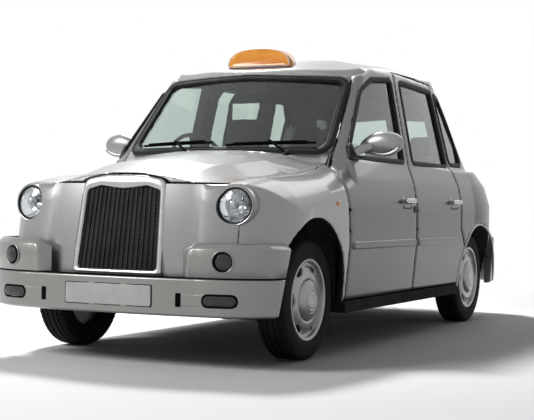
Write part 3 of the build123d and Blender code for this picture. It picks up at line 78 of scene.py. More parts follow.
LOG = logging.getLogger("cab")
TURN = 2.0 * math.pi
FRONT_AXLE = -1.500
REAR_AXLE = 1.386
AHEAD = np.array((0.0, -1.0, 0.0))
UP = np.array((0.0, 0.0, 1.0))
OUT = np.array((1.0, 0.0, 0.0))


def aft(distance: float | Array) -> float | Array:
    """Y at a distance behind the front axle."""
    return FRONT_AXLE + distance


class Side(Enum):
    """A side of the cab, with the sign of its x."""

    LEFT = 1.0
    RIGHT = -1.0

    @property
    def label(self) -> str:
        """The side's name as the frame's nodes spell it."""
        return self.name.lower()


# ---------------------------------------------------------------- finishes
def add_node(tree: bpy.types.NodeTree, kind: str, inputs: dict, **settings: object) -> Node:
    """Adds a shader node.

    Args:
        tree: the node tree.
        kind: the node's type, less its ShaderNode prefix.
        inputs: a value, or the socket that feeds it, for each input by name or number.
        settings: the node's own properties.

    Returns:
        The node.
    """
    node = tree.nodes.new(f"ShaderNode{kind}")
    for name, value in settings.items():
        setattr(node, name, value)
    for name, value in inputs.items():
        if isinstance(value, Socket):
            tree.links.new(value, node.inputs[name])
        else:
            node.inputs[name].default_value = value
    return node


class Shader:
    """A material being built: one Principled shader and the nodes that feed it."""

    def __init__(self, name: str, colour: Colour, metallic: float = 0.0, roughness: float = 0.5) -> None:
        """Starts a material with plain values.

        Args:
            name: the material's name.
            colour: base colour, linear.
            metallic: 0 for a dielectric, 1 for bare metal.
            roughness: microsurface roughness.
        """
        self.material = bpy.data.materials.new(name)
        self.material.use_nodes = True
        self.tree = self.material.node_tree
        self.tree.nodes.clear()
        self.core = self.add("BsdfPrincipled", {"Base Color": (*colour, 1.0), "Metallic": metallic, "Roughness": roughness})
        self.output = self.add("OutputMaterial", {0: self.core.outputs[0]})
        self.place = self.add("TexCoord", {}).outputs["Object"]
        self.material.diffuse_color = (*colour, 1.0)

    def add(self, kind: str, inputs: dict, **settings: object) -> Node:
        """Adds a node to the material."""
        return add_node(self.tree, kind, inputs, **settings)

    def set(self, socket: str, value: object) -> None:
        """Sets or feeds one of the shader's own sockets."""
        if isinstance(value, Socket):
            self.tree.links.new(value, self.core.inputs[socket])
        else:
            self.core.inputs[socket].default_value = value

    def noise(self, scale: float, detail: float = 2.0, stretch: Sequence[float] = (1, 1, 1)) -> Socket:
        """A cloud pattern of so many cells to the metre, stretched on each axis."""
        place = self.add("Mapping", {"Scale": stretch, "Vector": self.place}).outputs[0]
        return self.add("TexNoise", {"Scale": scale, "Detail": detail, "Vector": place}).outputs[0]

    def cells(self, scale: float) -> Socket:
        """Distance from the middle of small cells, as of metal flakes."""
        return self.add("TexVoronoi", {"Scale": scale, "Vector": self.place}).outputs["Distance"]

    def bands(self, scale: float, direction: str) -> Socket:
        """Straight waves across one axis, as of ribs or threads."""
        return self.add("TexWave", {"Scale": scale, "Vector": self.place}, bands_direction=direction).outputs[0]

    def dulled(self, colour: Socket, share: float) -> Socket:
        """A colour darkened toward the sills as painted shade, standing in for the lower flanks' darker reflection: a
        share of it below 0.80 m, all of it above 1.00 m.
        """
        height = self.add("SeparateXYZ", {0: self.place}).outputs["Z"]
        ramp = self.add("MapRange", {"Value": height, "From Min": 0.80, "From Max": 1.00, "To Min": share, "To Max": 1.0})
        return self.add("VectorMath", {0: colour, "Scale": ramp.outputs[0]}, operation="SCALE").outputs[0]

    def blend(self, factor: Socket, low: Colour, high: Colour, span: Ends) -> Socket:
        """A 0 to 1 pattern turned into a colour between two, each reached at its end of the span."""
        ramp = self.add("ValToRGB", {0: factor})
        for stop, position, colour in zip(ramp.color_ramp.elements, span, (low, high)):
            stop.position, stop.color = position, (*colour, 1.0)
        return ramp.outputs[0]

    def span(self, factor: Socket, low: float, high: float) -> Socket:
        """Maps a 0 to 1 pattern to a range of values."""
        return self.add("MapRange", {"To Min": low, "To Max": high, "Value": factor}).outputs[0]

    def product(self, a: Socket, b: Socket) -> Socket:
        """Two patterns multiplied."""
        return self.add("Math", {0: a, 1: b}, operation="MULTIPLY").outputs[0]

    def bump(self, height: Socket, strength: float, distance: float) -> None:
        """Raises the surface by a pattern of a height in metres, after any bump already there."""
        normal = self.core.inputs["Normal"]
        below = {"Normal": normal.links[0].from_socket} if normal.is_linked else {}
        raised = self.add("Bump", {"Strength": strength, "Distance": distance, "Height": height, **below})
        self.set("Normal", raised.outputs[0])


@dataclass(frozen=True)
class Paint:
    """Metallic paint under clear lacquer: fine flakes, painted shade low down and an orange-peel surface."""

    name: str
    dark: Colour
    light: Colour
    metallic: float
    roughness: float
    coat: float = 0.7
    # film: share of the colour kept below 0.80 m, painted shade for the lower flanks' darker reflection.
    film: float = 1.0

    def build(self) -> bpy.types.Material:
        """The finished material."""
        s = Shader(self.name, self.light, self.metallic, self.roughness)
        s.set("Base Color", s.dulled(s.blend(s.cells(2600.0), self.dark, self.light, (0.05, 0.55)), self.film))
        s.set("Roughness", s.span(s.noise(3.0, 3.0), self.roughness - 0.03, self.roughness + 0.05))
        s.bump(s.noise(220.0, 1.0), 0.04, 0.0004)
        s.set("Coat Weight", self.coat)
        s.set("Coat Roughness", 0.05)
        return s.material


@dataclass(frozen=True)
class Plate:
    """Plated or polished metal with a soft haze and fine wiping marks."""

    name: str
    colour: Colour
    roughness: float

    def build(self) -> bpy.types.Material:
        """The finished material."""
        s = Shader(self.name, self.colour, 1.0, self.roughness)
        hazed = tuple(c * 0.86 for c in self.colour)
        s.set("Base Color", s.blend(s.noise(14.0, 4.0), hazed, self.colour, (0.3, 0.7)))
        marks = s.noise(400.0, 2.0, (1.0, 0.08, 1.0))
        s.set("Roughness", s.span(marks, self.roughness * 0.7, self.roughness * 1.6))
        return s.material


@dataclass(frozen=True)
class Moulding:
    """Moulded rubber or plastic: fine grain, mottled tone and dust that dulls it."""

    name: str
    dark: Colour
    light: Colour
    roughness: float
    grain: float = 900.0
    depth: float = 0.0003
    gloss: float = 0.2

    def build(self) -> bpy.types.Material:
        """The finished material."""
        s = Shader(self.name, self.light, 0.0, self.roughness)
        s.set("Base Color", s.blend(s.noise(9.0, 5.0), self.dark, self.light, (0.35, 0.7)))
        s.set("Roughness", s.span(s.noise(30.0, 3.0), self.roughness - 0.08, self.roughness + 0.12))
        s.bump(s.noise(self.grain, 2.0), 0.35, self.depth)
        s.set("Specular IOR Level", self.gloss)
        return s.material


@dataclass(frozen=True)
class Metalwork:
    """Cast or rolled iron and steel under the cab: scale, road dust and rough skin."""

    name: str
    dark: Colour
    light: Colour
    metallic: float
    roughness: float

    def build(self) -> bpy.types.Material:
        """The finished material."""
        s = Shader(self.name, self.light, self.metallic, self.roughness)
        s.set("Base Color", s.blend(s.noise(12.0, 6.0), self.dark, self.light, (0.3, 0.72)))
        s.set("Roughness", s.span(s.noise(40.0, 4.0), self.roughness - 0.15, self.roughness + 0.2))
        s.bump(s.noise(260.0, 4.0), 0.5, 0.0012)
        return s.material


@dataclass(frozen=True)
class Cloth:
    """Woven seat cloth: crossing threads, a flecked colour and a soft sheen."""

    name: str
    dark: Colour
    light: Colour
    threads: float = 260.0

    def build(self) -> bpy.types.Material:
        """The finished material."""
        s = Shader(self.name, self.light, 0.0, 0.9)
        s.set("Base Color", s.blend(s.noise(420.0, 3.0), self.dark, self.light, (0.35, 0.65)))
        s.bump(s.product(s.bands(self.threads, "X"), s.bands(self.threads, "Z")), 0.5, 0.0006)
        s.bump(s.noise(60.0, 3.0), 0.25, 0.002)
        s.set("Sheen Weight", 0.35)
        s.set("Sheen Roughness", 0.5)
        return s.material


@dataclass(frozen=True)
class Glass:
    """Clear window or lamp glass with a faintly uneven tint."""

    name: str
    tint: Colour

    def build(self) -> bpy.types.Material:
        """The finished material."""
        s = Shader(self.name, self.tint, 0.0, 0.0)
        s.set("IOR", 1.45)
        s.set("Base Color", s.blend(s.noise(5.0, 3.0), tuple(c * 0.96 for c in self.tint), self.tint, (0.3, 0.7)))
        s.set("Transmission Weight", 1.0)
        return s.material


@dataclass(frozen=True)
class Lens:
    """A coloured lamp lens, ribbed on its inside, with a little light of its own body colour."""

    name: str
    dark: Colour
    light: Colour
    glow: float = 0.0
    share: float = 0.35
    coat: float = 0.6

    def build(self) -> bpy.types.Material:
        """The finished material."""
        s = Shader(self.name, self.light, 0.0, 0.18)
        tone = s.blend(s.noise(6.0, 2.0, (1.0, 1.0, 2.2)), self.dark, self.light, (0.3, 0.68))
        s.set("Base Color", tone)
        s.set("Transmission Weight", self.share)
        s.set("Coat Weight", self.coat)
        s.set("Emission Color", tone)
        s.set("Emission Strength", self.glow)
        s.bump(s.bands(60.0, "X"), 0.12, 0.0008)
        return s.material


FINISHES = {
    "paint": Paint("silver_paint", (0.15, 0.153, 0.155), (0.34, 0.345, 0.35), 0.60, 0.30, 0.6),
    # The sides take a darker copy of the same silver paint as painted shade, for upright faces that get less light;
    # they also darken low down as painted shade.
    "side_paint_shaded": Paint("silver_paint_sides", (0.115, 0.114, 0.111), (0.250, 0.248, 0.242), 0.50, 0.30, 0.3, 0.46),
    # The bumpers take a darker copy of the same silver paint as painted shade, for their low upright faces.
    "bumper_paint_shaded": Paint("silver_paint_bumpers", (0.13, 0.128, 0.122), (0.30, 0.296, 0.284), 0.55, 0.32, 0.4),
    "wheel": Paint("wheel_silver", (0.20, 0.20, 0.20), (0.38, 0.38, 0.378), 0.6, 0.34),
    "bright": Plate("bright_trim", (0.50, 0.50, 0.51), 0.24),
    "mirror": Plate("mirror_silvering", (0.85, 0.86, 0.88), 0.02),
    "rubber": Moulding("seal_rubber", (0.006, 0.006, 0.007), (0.014, 0.014, 0.015), 0.6),
    "rubber_pale": Moulding("seal_filler", (0.045, 0.046, 0.048), (0.075, 0.076, 0.078), 0.45),
    "tyre": Moulding("tyre_rubber", (0.006, 0.006, 0.006), (0.016, 0.016, 0.016), 0.78, 500.0, 0.0006),
    "black": Moulding("black_moulding", (0.010, 0.010, 0.011), (0.022, 0.022, 0.023), 0.42),
    "plinth": Moulding("sign_plinth", (0.030, 0.018, 0.012), (0.060, 0.036, 0.022), 0.45),
    "plate": Moulding("blank_plate", (0.42, 0.42, 0.41), (0.50, 0.50, 0.49), 0.35, 300.0, 0.0002),
    # Near-black for dark joints and black parts; also painted shade in the lower slots, corner lamp recesses and wheel
    # cover holes.
    "gap": Moulding("shut_gap", (0.002, 0.002, 0.002), (0.006, 0.006, 0.006), 0.9, 900.0, 0.0003, 0.05),
    "cabin": Moulding("cabin_moulding", (0.020, 0.021, 0.023), (0.045, 0.046, 0.050), 0.7, 700.0, 0.0005),
    "carpet": Moulding("cabin_carpet", (0.012, 0.012, 0.014), (0.035, 0.035, 0.038), 0.95, 1500.0, 0.002),
    "net": Moulding("grille_net", (0.020, 0.019, 0.018), (0.060, 0.056, 0.052), 0.45),
    "cloth": Cloth("seat_cloth", (0.012, 0.014, 0.020), (0.050, 0.055, 0.070)),
    "chassis": Metalwork("chassis_black", (0.006, 0.006, 0.006), (0.022, 0.021, 0.020), 0.2, 0.6),
    "steel": Metalwork("axle_steel", (0.08, 0.075, 0.07), (0.24, 0.23, 0.22), 0.8, 0.45),
    "iron": Metalwork("engine_iron", (0.05, 0.05, 0.05), (0.16, 0.155, 0.15), 0.7, 0.55),
    "glass": Glass("tinted_glass", (0.70, 0.78, 0.74)),
    "clear": Glass("clear_glass", (0.93, 0.95, 0.96)),
    "smoked": Lens("smoked_lens", (0.005, 0.0045, 0.004), (0.030, 0.026, 0.022), 0.0, 0.0, 0.1),
    "amber": Lens("amber_lens", (0.72, 0.20, 0.008), (0.90, 0.36, 0.03), 0.10, 0.0, 0.3),
    "red": Lens("red_lens", (0.35, 0.004, 0.003), (0.62, 0.015, 0.01)),
    "white_lens": Lens("white_lens", (0.72, 0.72, 0.70), (0.9, 0.9, 0.88), 0.05),
}


# ---------------------------------------------------------------- surfaces worked out as whole arrays
def unit(vectors: Array) -> Array:
    """Vectors scaled to length 1."""
    return vectors / np.maximum(np.linalg.norm(vectors, axis=-1, keepdims=True), 1e-12)


def round_turn(count: int) -> Array:
    """Angles spread evenly over one turn."""
    return np.linspace(0.0, TURN, count, endpoint=False)


def grid_faces(rows: int, cols: int, wrap_rows: bool = False, wrap_cols: bool = False) -> Array:
    """The four-cornered faces of a grid of points, its last row or column joined to the first where it wraps."""
    i = np.arange(rows if wrap_rows else rows - 1)[:, None]
    j = np.arange(cols if wrap_cols else cols - 1)[None, :]
    down, right = (i + 1) % rows, (j + 1) % cols
    corners = [i * cols + j, down * cols + j, down * cols + right, i * cols + right]
    return np.stack([np.broadcast_to(c, (i.shape[0], j.shape[1])) for c in corners], axis=-1).reshape(-1, 4)


def put(name: str, points: Array, faces: Sequence, sharp: float = 35.0) -> Piece:
    """A mesh object from points and rows of corner indices, its edges sharp past an angle in degrees."""
    mesh = bpy.data.meshes.new(name)
    mesh.from_pydata(np.asarray(points).reshape(-1, 3).tolist(), [], [list(face) for face in faces])
    return settle(name, mesh, sharp)


def settle(name: str, mesh: bpy.types.Mesh, sharp: float) -> Piece:
    """Merges a mesh's doubles, turns its faces outwards, smooths it up to an angle and links it as an object."""
    work = bmesh.new()
    work.from_mesh(mesh)
    bmesh.ops.remove_doubles(work, verts=work.verts, dist=1e-6)
    bmesh.ops.recalc_face_normals(work, faces=work.faces)
    work.to_mesh(mesh)
    work.free()
    mesh.polygons.foreach_set("use_smooth", np.ones(len(mesh.polygons), bool))
    mesh.set_sharp_from_angle(angle=math.radians(sharp))
    piece = bpy.data.objects.new(name, mesh)
    bpy.context.scene.collection.objects.link(piece)
    return piece


def lofted(name: str, rings: Array, closed: bool = False, sharp: float = 35.0, turn: int = 1) -> Piece:
    """A skin over rings of points.

    Args:
        name: the piece's name.
        rings: points, shape (stations, ring, 3).
        closed: whether the last station joins the first; the ends are capped where it does not.
        sharp: angle in degrees past which an edge shades sharp.
        turn: way round that the first end's corners are listed, 1 or -1.

    Returns:
        The object.
    """
    stations, ring = rings.shape[:2]
    faces = grid_faces(stations, ring, closed, True).tolist()
    if not closed:
        faces += [list(range(ring))[::turn], list(range((stations - 1) * ring, stations * ring))]
    return put(name, rings, faces, sharp)


def along(path: Array, closed: bool) -> Array:
    """Unit tangents of a path, by central differences."""
    if closed:
        return unit(np.roll(path, -1, axis=0) - np.roll(path, 1, axis=0))
    return unit(np.gradient(path, axis=0))


def carry(name: str, path: Array, up: Array, profile: Array, closed: bool = False) -> Piece:
    """A profile carried along a path: point = path + across * profile x + up * profile y.

    Args:
        name: the piece's name.
        path: positions, shape (n, 3).
        up: the direction that stands off the surface at each position, or one for all.
        profile: closed section, columns across and up.
        closed: whether the path is a loop.

    Returns:
        The object.
    """
    tangent = along(path, closed)
    across = unit(np.cross(tangent, np.broadcast_to(up, path.shape)))
    lift = unit(np.cross(across, tangent))
    points = path[:, None] + across[:, None] * profile[None, :, :1] + lift[:, None] * profile[None, :, 1:]
    return lofted(name, points, closed, turn=-1)


def turned(name: str, centre: Sequence[float], axis: Sequence[float], profile: Array, count: int = 64) -> Piece:
    """A profile turned round an axis: point = centre + axis * depth + radius * (cos, sin) across it.

    Args:
        name: the piece's name.
        centre: a point on the axis.
        axis: the axis, pointing outwards.
        profile: columns depth and radius; a closed section, or a run that starts and ends at radius 0.
        count: steps round the axis.

    Returns:
        The object.
    """
    profile, a = np.asarray(profile), unit(np.asarray(axis, float))
    side = unit(np.cross(a, UP))
    angle = round_turn(count)[:, None]
    ring = np.cos(angle) * side + np.sin(angle) * np.cross(a, side)
    points = np.asarray(centre) + profile[None, :, :1] * a + ring[:, None] * profile[None, :, 1:]
    return put(name, points, grid_faces(count, len(profile), True, bool(profile[0, 1] > 1e-6)))


def rounded(corners: Sequence[Sequence[float]], radius: float | Sequence[float], step: float = 0.012) -> Array:
    """A closed flat outline with rounded corners: each corner is an arc from one straight side to the next.

    Args:
        corners: flat points in order.
        radius: one radius, or one for each corner.
        step: spacing of the points.

    Returns:
        Evenly spread points, shape (n, 2).
    """
    p = np.asarray(corners, float)
    run = []
    for here, before, after, r in zip(p, np.roll(p, 1, axis=0), np.roll(p, -1, axis=0), np.broadcast_to(radius, (len(p),))):
        a, b = unit(before - here), unit(after - here)
        half = math.acos(float(np.clip(a @ b, -1.0, 1.0))) / 2.0
        back = min(r / math.tan(half), 0.45 * min(np.linalg.norm(before - here), np.linalg.norm(after - here)))
        true = back * math.tan(half)
        centre = here + unit(a + b) * (true / math.sin(half))
        start, end = here + a * back - centre, here + b * back - centre
        t = np.linspace(0.0, 1.0, 9)[:, None]
        run.append(centre + unit(start * (1 - t) + end * t) * true)
    loop = np.concatenate(run + [run[0][:1]])
    length = np.concatenate([[0.0], np.cumsum(np.linalg.norm(np.diff(loop, axis=0), axis=1))])
    at = np.linspace(0.0, length[-1], max(int(length[-1] / step), 24), endpoint=False)
    return np.stack([np.interp(at, length, loop[:, k]) for k in (0, 1)], axis=1)


def box(x: Ends, z: Ends, radius: float, step: float = 0.012) -> Array:
    """A rounded rectangle between two pairs of edges."""
    return rounded(((x[0], z[0]), (x[1], z[0]), (x[1], z[1]), (x[0], z[1])), radius, step)


def oblong(width: float, height: float, power: float = 2.6, count: int = 40) -> Array:
    """A closed section between an ellipse and a rectangle: |x/a|^p + |y/b|^p = 1."""
    c, s = np.cos(round_turn(count)), np.sin(round_turn(count))
    x, y = (np.sign(v) * np.abs(v) ** (2 / power) for v in (c, s))
    return np.stack([x * width / 2, y * height / 2], axis=1)


def bead(depth: Ends, radius: Ends, count: int) -> Array:
    """An oval section standing off an axis; each pair is the middle and the reach either side of it."""
    t = round_turn(count)
    return np.stack([depth[0] + depth[1] * np.cos(t), radius[0] + radius[1] * np.sin(t)], axis=1)


def circle_of(a: tuple, b: tuple, c: tuple) -> tuple[Array, Array, Array]:
    """Centre and radius of the circle through three flat points whose coordinates may be arrays."""
    (ax, ay), (bx, by), (cx, cy) = a, b, c
    d = 2.0 * (ax * (by - cy) + bx * (cy - ay) + cx * (ay - by))
    aa, bb, cc = ax * ax + ay * ay, bx * bx + by * by, cx * cx + cy * cy
    x = (aa * (by - cy) + bb * (cy - ay) + cc * (ay - by)) / d
    y = (aa * (cx - bx) + bb * (ax - cx) + cc * (bx - ax)) / d
    return x, y, np.hypot(ax - x, ay - y)


def far_side(circle: tuple[Array, Array, Array], x: Array) -> Array:
    """The larger ordinate of a circle at an abscissa, or of its middle past its ends."""
    cx, cy, r = circle
    return cy + np.sqrt(np.maximum(r * r - (x - cx) ** 2, 0.0))


def mirrored(points: Array, side: Side) -> Array:
    """Points of the left side moved to a side."""
    return points * (side.value, 1.0, 1.0)


def pad(name: str, outline: Array, surface: Callable, outward: Array, heights: Sequence[float], shrink: Sequence[float],
        side: Side = Side.LEFT, even: bool = False) -> Piece:
    """A raised or dished patch on a surface: rings of its outline drawn in and lifted, closed at the middle.

    Args:
        name: the piece's name.
        outline: its edge in the surface's two parameters.
        surface: the surface.
        outward: direction of its height, one for all or one for each point of the outline.
        heights: height of each ring above the surface.
        shrink: size of each ring, 1 at the edge.
        side: the side it is moved to.
        even: whether a ring is drawn in as far along both parameters, as a frame is.

    Returns:
        The object.
    """
    share = np.asarray(shrink)[:, None, None]
    if even:
        low, high = outline.min(axis=0), outline.max(axis=0)
        middle, reach = (low + high) / 2, (high - low) / 2
        share = 1.0 - (1.0 - share) * min(reach) / reach
    else:
        middle = outline.mean(axis=0)
    flat = middle + (outline - middle)[None] * share
    points = surface(flat[..., 0], flat[..., 1]) + np.asarray(heights)[:, None, None] * outward
    return lofted(name, mirrored(points, side))


# ---------------------------------------------------------------- the body's outer surface
@dataclass(frozen=True)
class Glasshouse:
    """The glasshouse outline in plan at its foot and head; every value runs straight between the two heights."""

    z: Ends = (1.100, 1.650)
    screen_y: Ends = (0.310, 0.790)
    screen_x: Ends = (0.694, 0.634)
    corner_y: Ends = (0.448, 0.945)
    post: tuple[Ends, Ends] = ((0.782, 0.515), (0.676, 1.000))
    side: tuple[Ends, Ends] = ((0.802, 1.500), (0.692, 1.500))
    rear: tuple[Ends, Ends] = ((0.760, 2.800), (0.650, 2.400))
    turn: tuple[Ends, Ends] = ((0.560, 3.390), (0.450, 2.960))
    back_y: Ends = (3.500, 3.060)

    def one(self, ends: Ends, z: Array) -> Array:
        """A tabled value at any height."""
        return ends[0] + (ends[1] - ends[0]) * (z - self.z[0]) / (self.z[1] - self.z[0])

    def pair(self, ends: tuple[Ends, Ends], z: Array) -> tuple[Array, Array]:
        """A tabled plan point at any height."""
        return self.one((ends[0][0], ends[1][0]), z), self.one((ends[0][1], ends[1][1]), z)

    def side_x(self, y: Array, z: Array) -> Array:
        """Half width at a distance aft: the arc from post to rear, then the arc round the rear corner."""
        post, side, rear, turn = (self.pair(e, z) for e in (self.post, self.side, self.rear, self.turn))
        middle = (turn[0] * 0.6 + rear[0] * 0.4, turn[1] * 0.72 + rear[1] * 0.28)
        flank, corner = (
            far_side(circle_of(*((b, a) for a, b in arc)), y) for arc in ((post, side, rear), (rear, middle, turn))
        )
        return np.where(y < rear[1], flank, corner)

    def front_y(self, x: Array, z: Array) -> Array:
        """Distance of the windscreen aft: an arc across, then the straight run to the post."""
        screen_y, screen_x, corner_y = (self.one(e, z) for e in (self.screen_y, self.screen_x, self.corner_y))
        post = self.pair(self.post, z)
        cx, cy, r = circle_of((0.0 * z, screen_y), (screen_x * 0.52, screen_y + 0.034), (screen_x, corner_y))
        arc = cy - np.sqrt(np.maximum(r * r - (np.abs(x) - cx) ** 2, 0.0))
        line = corner_y + (np.abs(x) - screen_x) * (post[1] - corner_y) / (post[0] - screen_x)
        return np.where(np.abs(x) < screen_x, arc, line)

    def rear_y(self, x: Array, z: Array) -> Array:
        """Distance of the rear window aft, on the arc across the back."""
        turn, back_y = self.pair(self.turn, z), self.one(self.back_y, z)
        return far_side(circle_of(turn, (turn[0] * 0.5, back_y - 0.022), (0.0 * z, back_y)), np.abs(x))


GLASSHOUSE = Glasshouse()
WATERLINE_Z = (0.304, 0.620, 0.860, 1.000, 1.110, 1.200)
WATERLINE_X = (0.838, 0.868, 0.866, 0.838, 0.798, 0.780)
WATERLINE_TAIL = (3.640, 3.690, 3.690, 3.640, 3.500, 3.500)


def side_point(y: Array, z: Array) -> Array:
    """A point of the left side at a distance aft and a height: the wider of lower body and glasshouse."""
    lower = np.where(z < 1.110, np.interp(z, WATERLINE_Z, WATERLINE_X), 0.0)
    upper = np.where(z > 1.000, GLASSHOUSE.side_x(y, z), 0.0)
    return np.stack([np.maximum(lower, upper), aft(y), z], axis=-1)


def screen_point(x: Array, z: Array) -> Array:
    """A point of the windscreen's surface."""
    return np.stack([x, aft(GLASSHOUSE.front_y(x, z)), z], axis=-1)


def back_point(x: Array, z: Array) -> Array:
    """A point of the rear window's surface."""
    return np.stack([x, aft(GLASSHOUSE.rear_y(x, z)), z], axis=-1)


def tail_point(x: Array, z: Array) -> Array:
    """A point of the tail below the rear window: an arc across the back and one round each corner."""
    side, tail = np.interp(z, WATERLINE_Z, WATERLINE_X), np.interp(z, WATERLINE_Z, WATERLINE_TAIL)
    joint = (side - 0.270, tail - 0.080)
    corner = far_side(circle_of((side, 2.750 + 0.0 * z), (side - 0.060, tail - 0.390), joint), np.abs(x))
    back = far_side(circle_of(joint, (0.300 + 0.0 * z, tail - 0.014), (0.0 * z, tail)), np.abs(x))
    return np.stack([x, aft(np.where(np.abs(x) > joint[0], corner, back)), z], axis=-1)


def normals(surface: Callable, u: Array, v: Array, outward: Sequence[float]) -> Array:
    """Unit normals of a surface by small steps in each parameter, on the side that faces outward."""
    step = 1e-4
    du = surface(u + step, v) - surface(u - step, v)
    dv = surface(u, v + step) - surface(u, v - step)
    n = unit(np.cross(du, dv))
    return n * np.sign(n @ np.asarray(outward))[:, None]


def pressed_mesh(mesh: bpy.types.Mesh, grain: float) -> bpy.types.Mesh:
    """An evenly faced copy of a panel, smoothed as a pressing is: no facets, and its edges rolled.

    Args:
        mesh: the panel.
        grain: size of the even faces before they are thinned.

    Returns:
        The smoothed mesh.
    """
    blank = bpy.data.objects.new("pressing", mesh)
    bpy.context.scene.collection.objects.link(blank)
    even = blank.modifiers.new("even", "REMESH")
    even.mode, even.voxel_size = "VOXEL", grain
    relax = blank.modifiers.new("relax", "SMOOTH")
    relax.factor, relax.iterations = 0.5, 8
    thin = blank.modifiers.new("thin", "DECIMATE")
    thin.ratio = 0.48
    smooth = bpy.data.meshes.new_from_object(blank.evaluated_get(bpy.context.evaluated_depsgraph_get()))
    bpy.data.objects.remove(blank)
    return smooth


def face_values(mesh: bpy.types.Mesh, name: str) -> Array:
    """The centre or normal of every face, one row each."""
    values = np.empty(len(mesh.polygons) * 3)
    mesh.polygons.foreach_get(name, values)
    return values.reshape(-1, 3)


def hidden_faces(mesh: bpy.types.Mesh) -> Array:
    """Which faces of a body panel take the dark finish: its inside, and as painted shade its faces in the shut gaps.

    A face is inside when its normal points at the cabin's long axis, when it lies within an arch's circle and faces
    the wheel, or when it is on the flank and more than a few millimetres within side_point's surface. The first two
    are the dark cabin and arch lining; the last darkens the flanges and jambs down in the shut gaps as painted shade.
    """
    centre, normal = face_values(mesh, "center"), face_values(mesh, "normal")
    x, y, z = centre.T
    axis = np.stack([0.0 * x, np.clip(y, -0.55, 1.60), np.clip(z, 0.60, 1.25)], axis=1)
    inside = (np.sum(unit(axis - centre) * normal, axis=1) > 0.35) & (z < 1.45)
    inside |= (normal[:, 2] < -0.6) & (z > 1.30)
    for hub_y, hub_z, reach in ((aft(-0.080), 0.360, 0.425), (REAR_AXLE, 0.272, 0.462)):
        spoke = np.stack([0.0 * x, hub_y - y, hub_z - z], axis=1)
        near = (np.linalg.norm(spoke, axis=1) < reach) & (np.abs(x) > 0.5)
        inside |= near & (np.sum(unit(spoke) * normal, axis=1) > 0.5)
    behind = y - FRONT_AXLE
    start = np.where(z < 0.92, 0.37, 0.60 + np.maximum(z - 1.05, 0.0))
    flank = (behind > start) & (behind < 2.70) & (z > 0.31) & (z < 1.66)
    return inside | (flank & (np.abs(x) < side_point(behind, z)[:, 0] - 0.006))


# ---------------------------------------------------------------- what the sub-assemblies share
@dataclass
class Cab:
    """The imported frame, the materials built so far and the pieces made."""

    frame: dict
    palette: dict[str, bpy.types.Material] = field(default_factory=dict)
    made: list[str] = field(default_factory=list)

    def material(self, finish: str) -> bpy.types.Material:
        """The material of a finish, built once."""
        if finish not in self.palette:
            self.palette[finish] = FINISHES[finish].build()
        return self.palette[finish]

    def add(self, piece: Piece, finish: str, slot: str, *stands_for: str, body: str = "body") -> Piece:
        """Finishes a piece, fixes it to a body and hides the nodes it stands for.

        Args:
            piece: the object.
            finish: key of its finish.
            slot: the record's material slot; not used.
            stands_for: nodes that it replaces.
            body: the body it moves with.

        Returns:
            The piece.
        """
        piece.data.materials.append(self.material(finish))
        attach(piece, body)
        if stands_for:
            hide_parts(*stands_for)
        self.made.append(piece.name)
        return piece

    def skin(self, node: str, finish: str, slot: str, inner: str = "", pressed: float = 0.0) -> Piece:
        """A merged, smoothly shaded copy of a node that stands for it.

        Args:
            node: the node's name.
            finish: key of its finish.
            slot: the record's material slot.
            inner: key of the finish of its hidden faces, if they differ; on the flank it is also painted shade in the
                shut gaps.
            pressed: grain of the even skin that smooths a pressed panel, 0 for none.

        Returns:
            The copy.
        """
        source = self.frame["nodes"][node]
        mesh = source.data.copy()
        mesh.materials.clear()
        mesh.transform(source.matrix_world)
        if pressed:
            mesh = pressed_mesh(mesh, pressed)
        bodies = self.frame["record"]["behaviour"]["bodies"]
        body = next(name for name, nodes in bodies.items() if node in nodes)
        piece = self.add(settle(f"{node}_skin", mesh, 30.0), finish, slot, node, body=body)
        if inner:
            mesh.materials.append(self.material(inner))
            # Dark cabin and arch lining, and painted shade on the faces down in the shut gaps.
            mesh.polygons.foreach_set("material_index", hidden_faces(mesh).astype(np.int32))
        return piece

    def dress(self, finish: str, *nodes: str) -> None:
        """Gives carried-over nodes a finish as they are."""
        for node in nodes:
            materials = self.frame["nodes"][node].data.materials
            if not materials:
                materials.append(self.material(finish))
            for k in range(len(materials)):
                materials[k] = self.material(finish)

    def report(self, name: str) -> None:
        """Logs how many pieces there are once a sub-assembly is done."""
        LOG.info("%s done, %d pieces in all", name, len(self.made))


def seen_directly(tree: bpy.types.NodeTree) -> Socket:
    """1 for what the camera or glass looks at, a little less for gloss, 0 for soft light."""
    path = add_node(tree, "LightPath", {})
    seen = path.outputs["Is Camera Ray"]
    for name, share in (("Is Glossy Ray", 0.80), ("Is Transmission Ray", 1.0)):
        weight = add_node(tree, "Math", {0: path.outputs[name], 1: share}, operation="MULTIPLY")
        seen = add_node(tree, "Math", {0: seen, 1: weight.outputs[0]}, operation="MAXIMUM").outputs[0]
    return seen


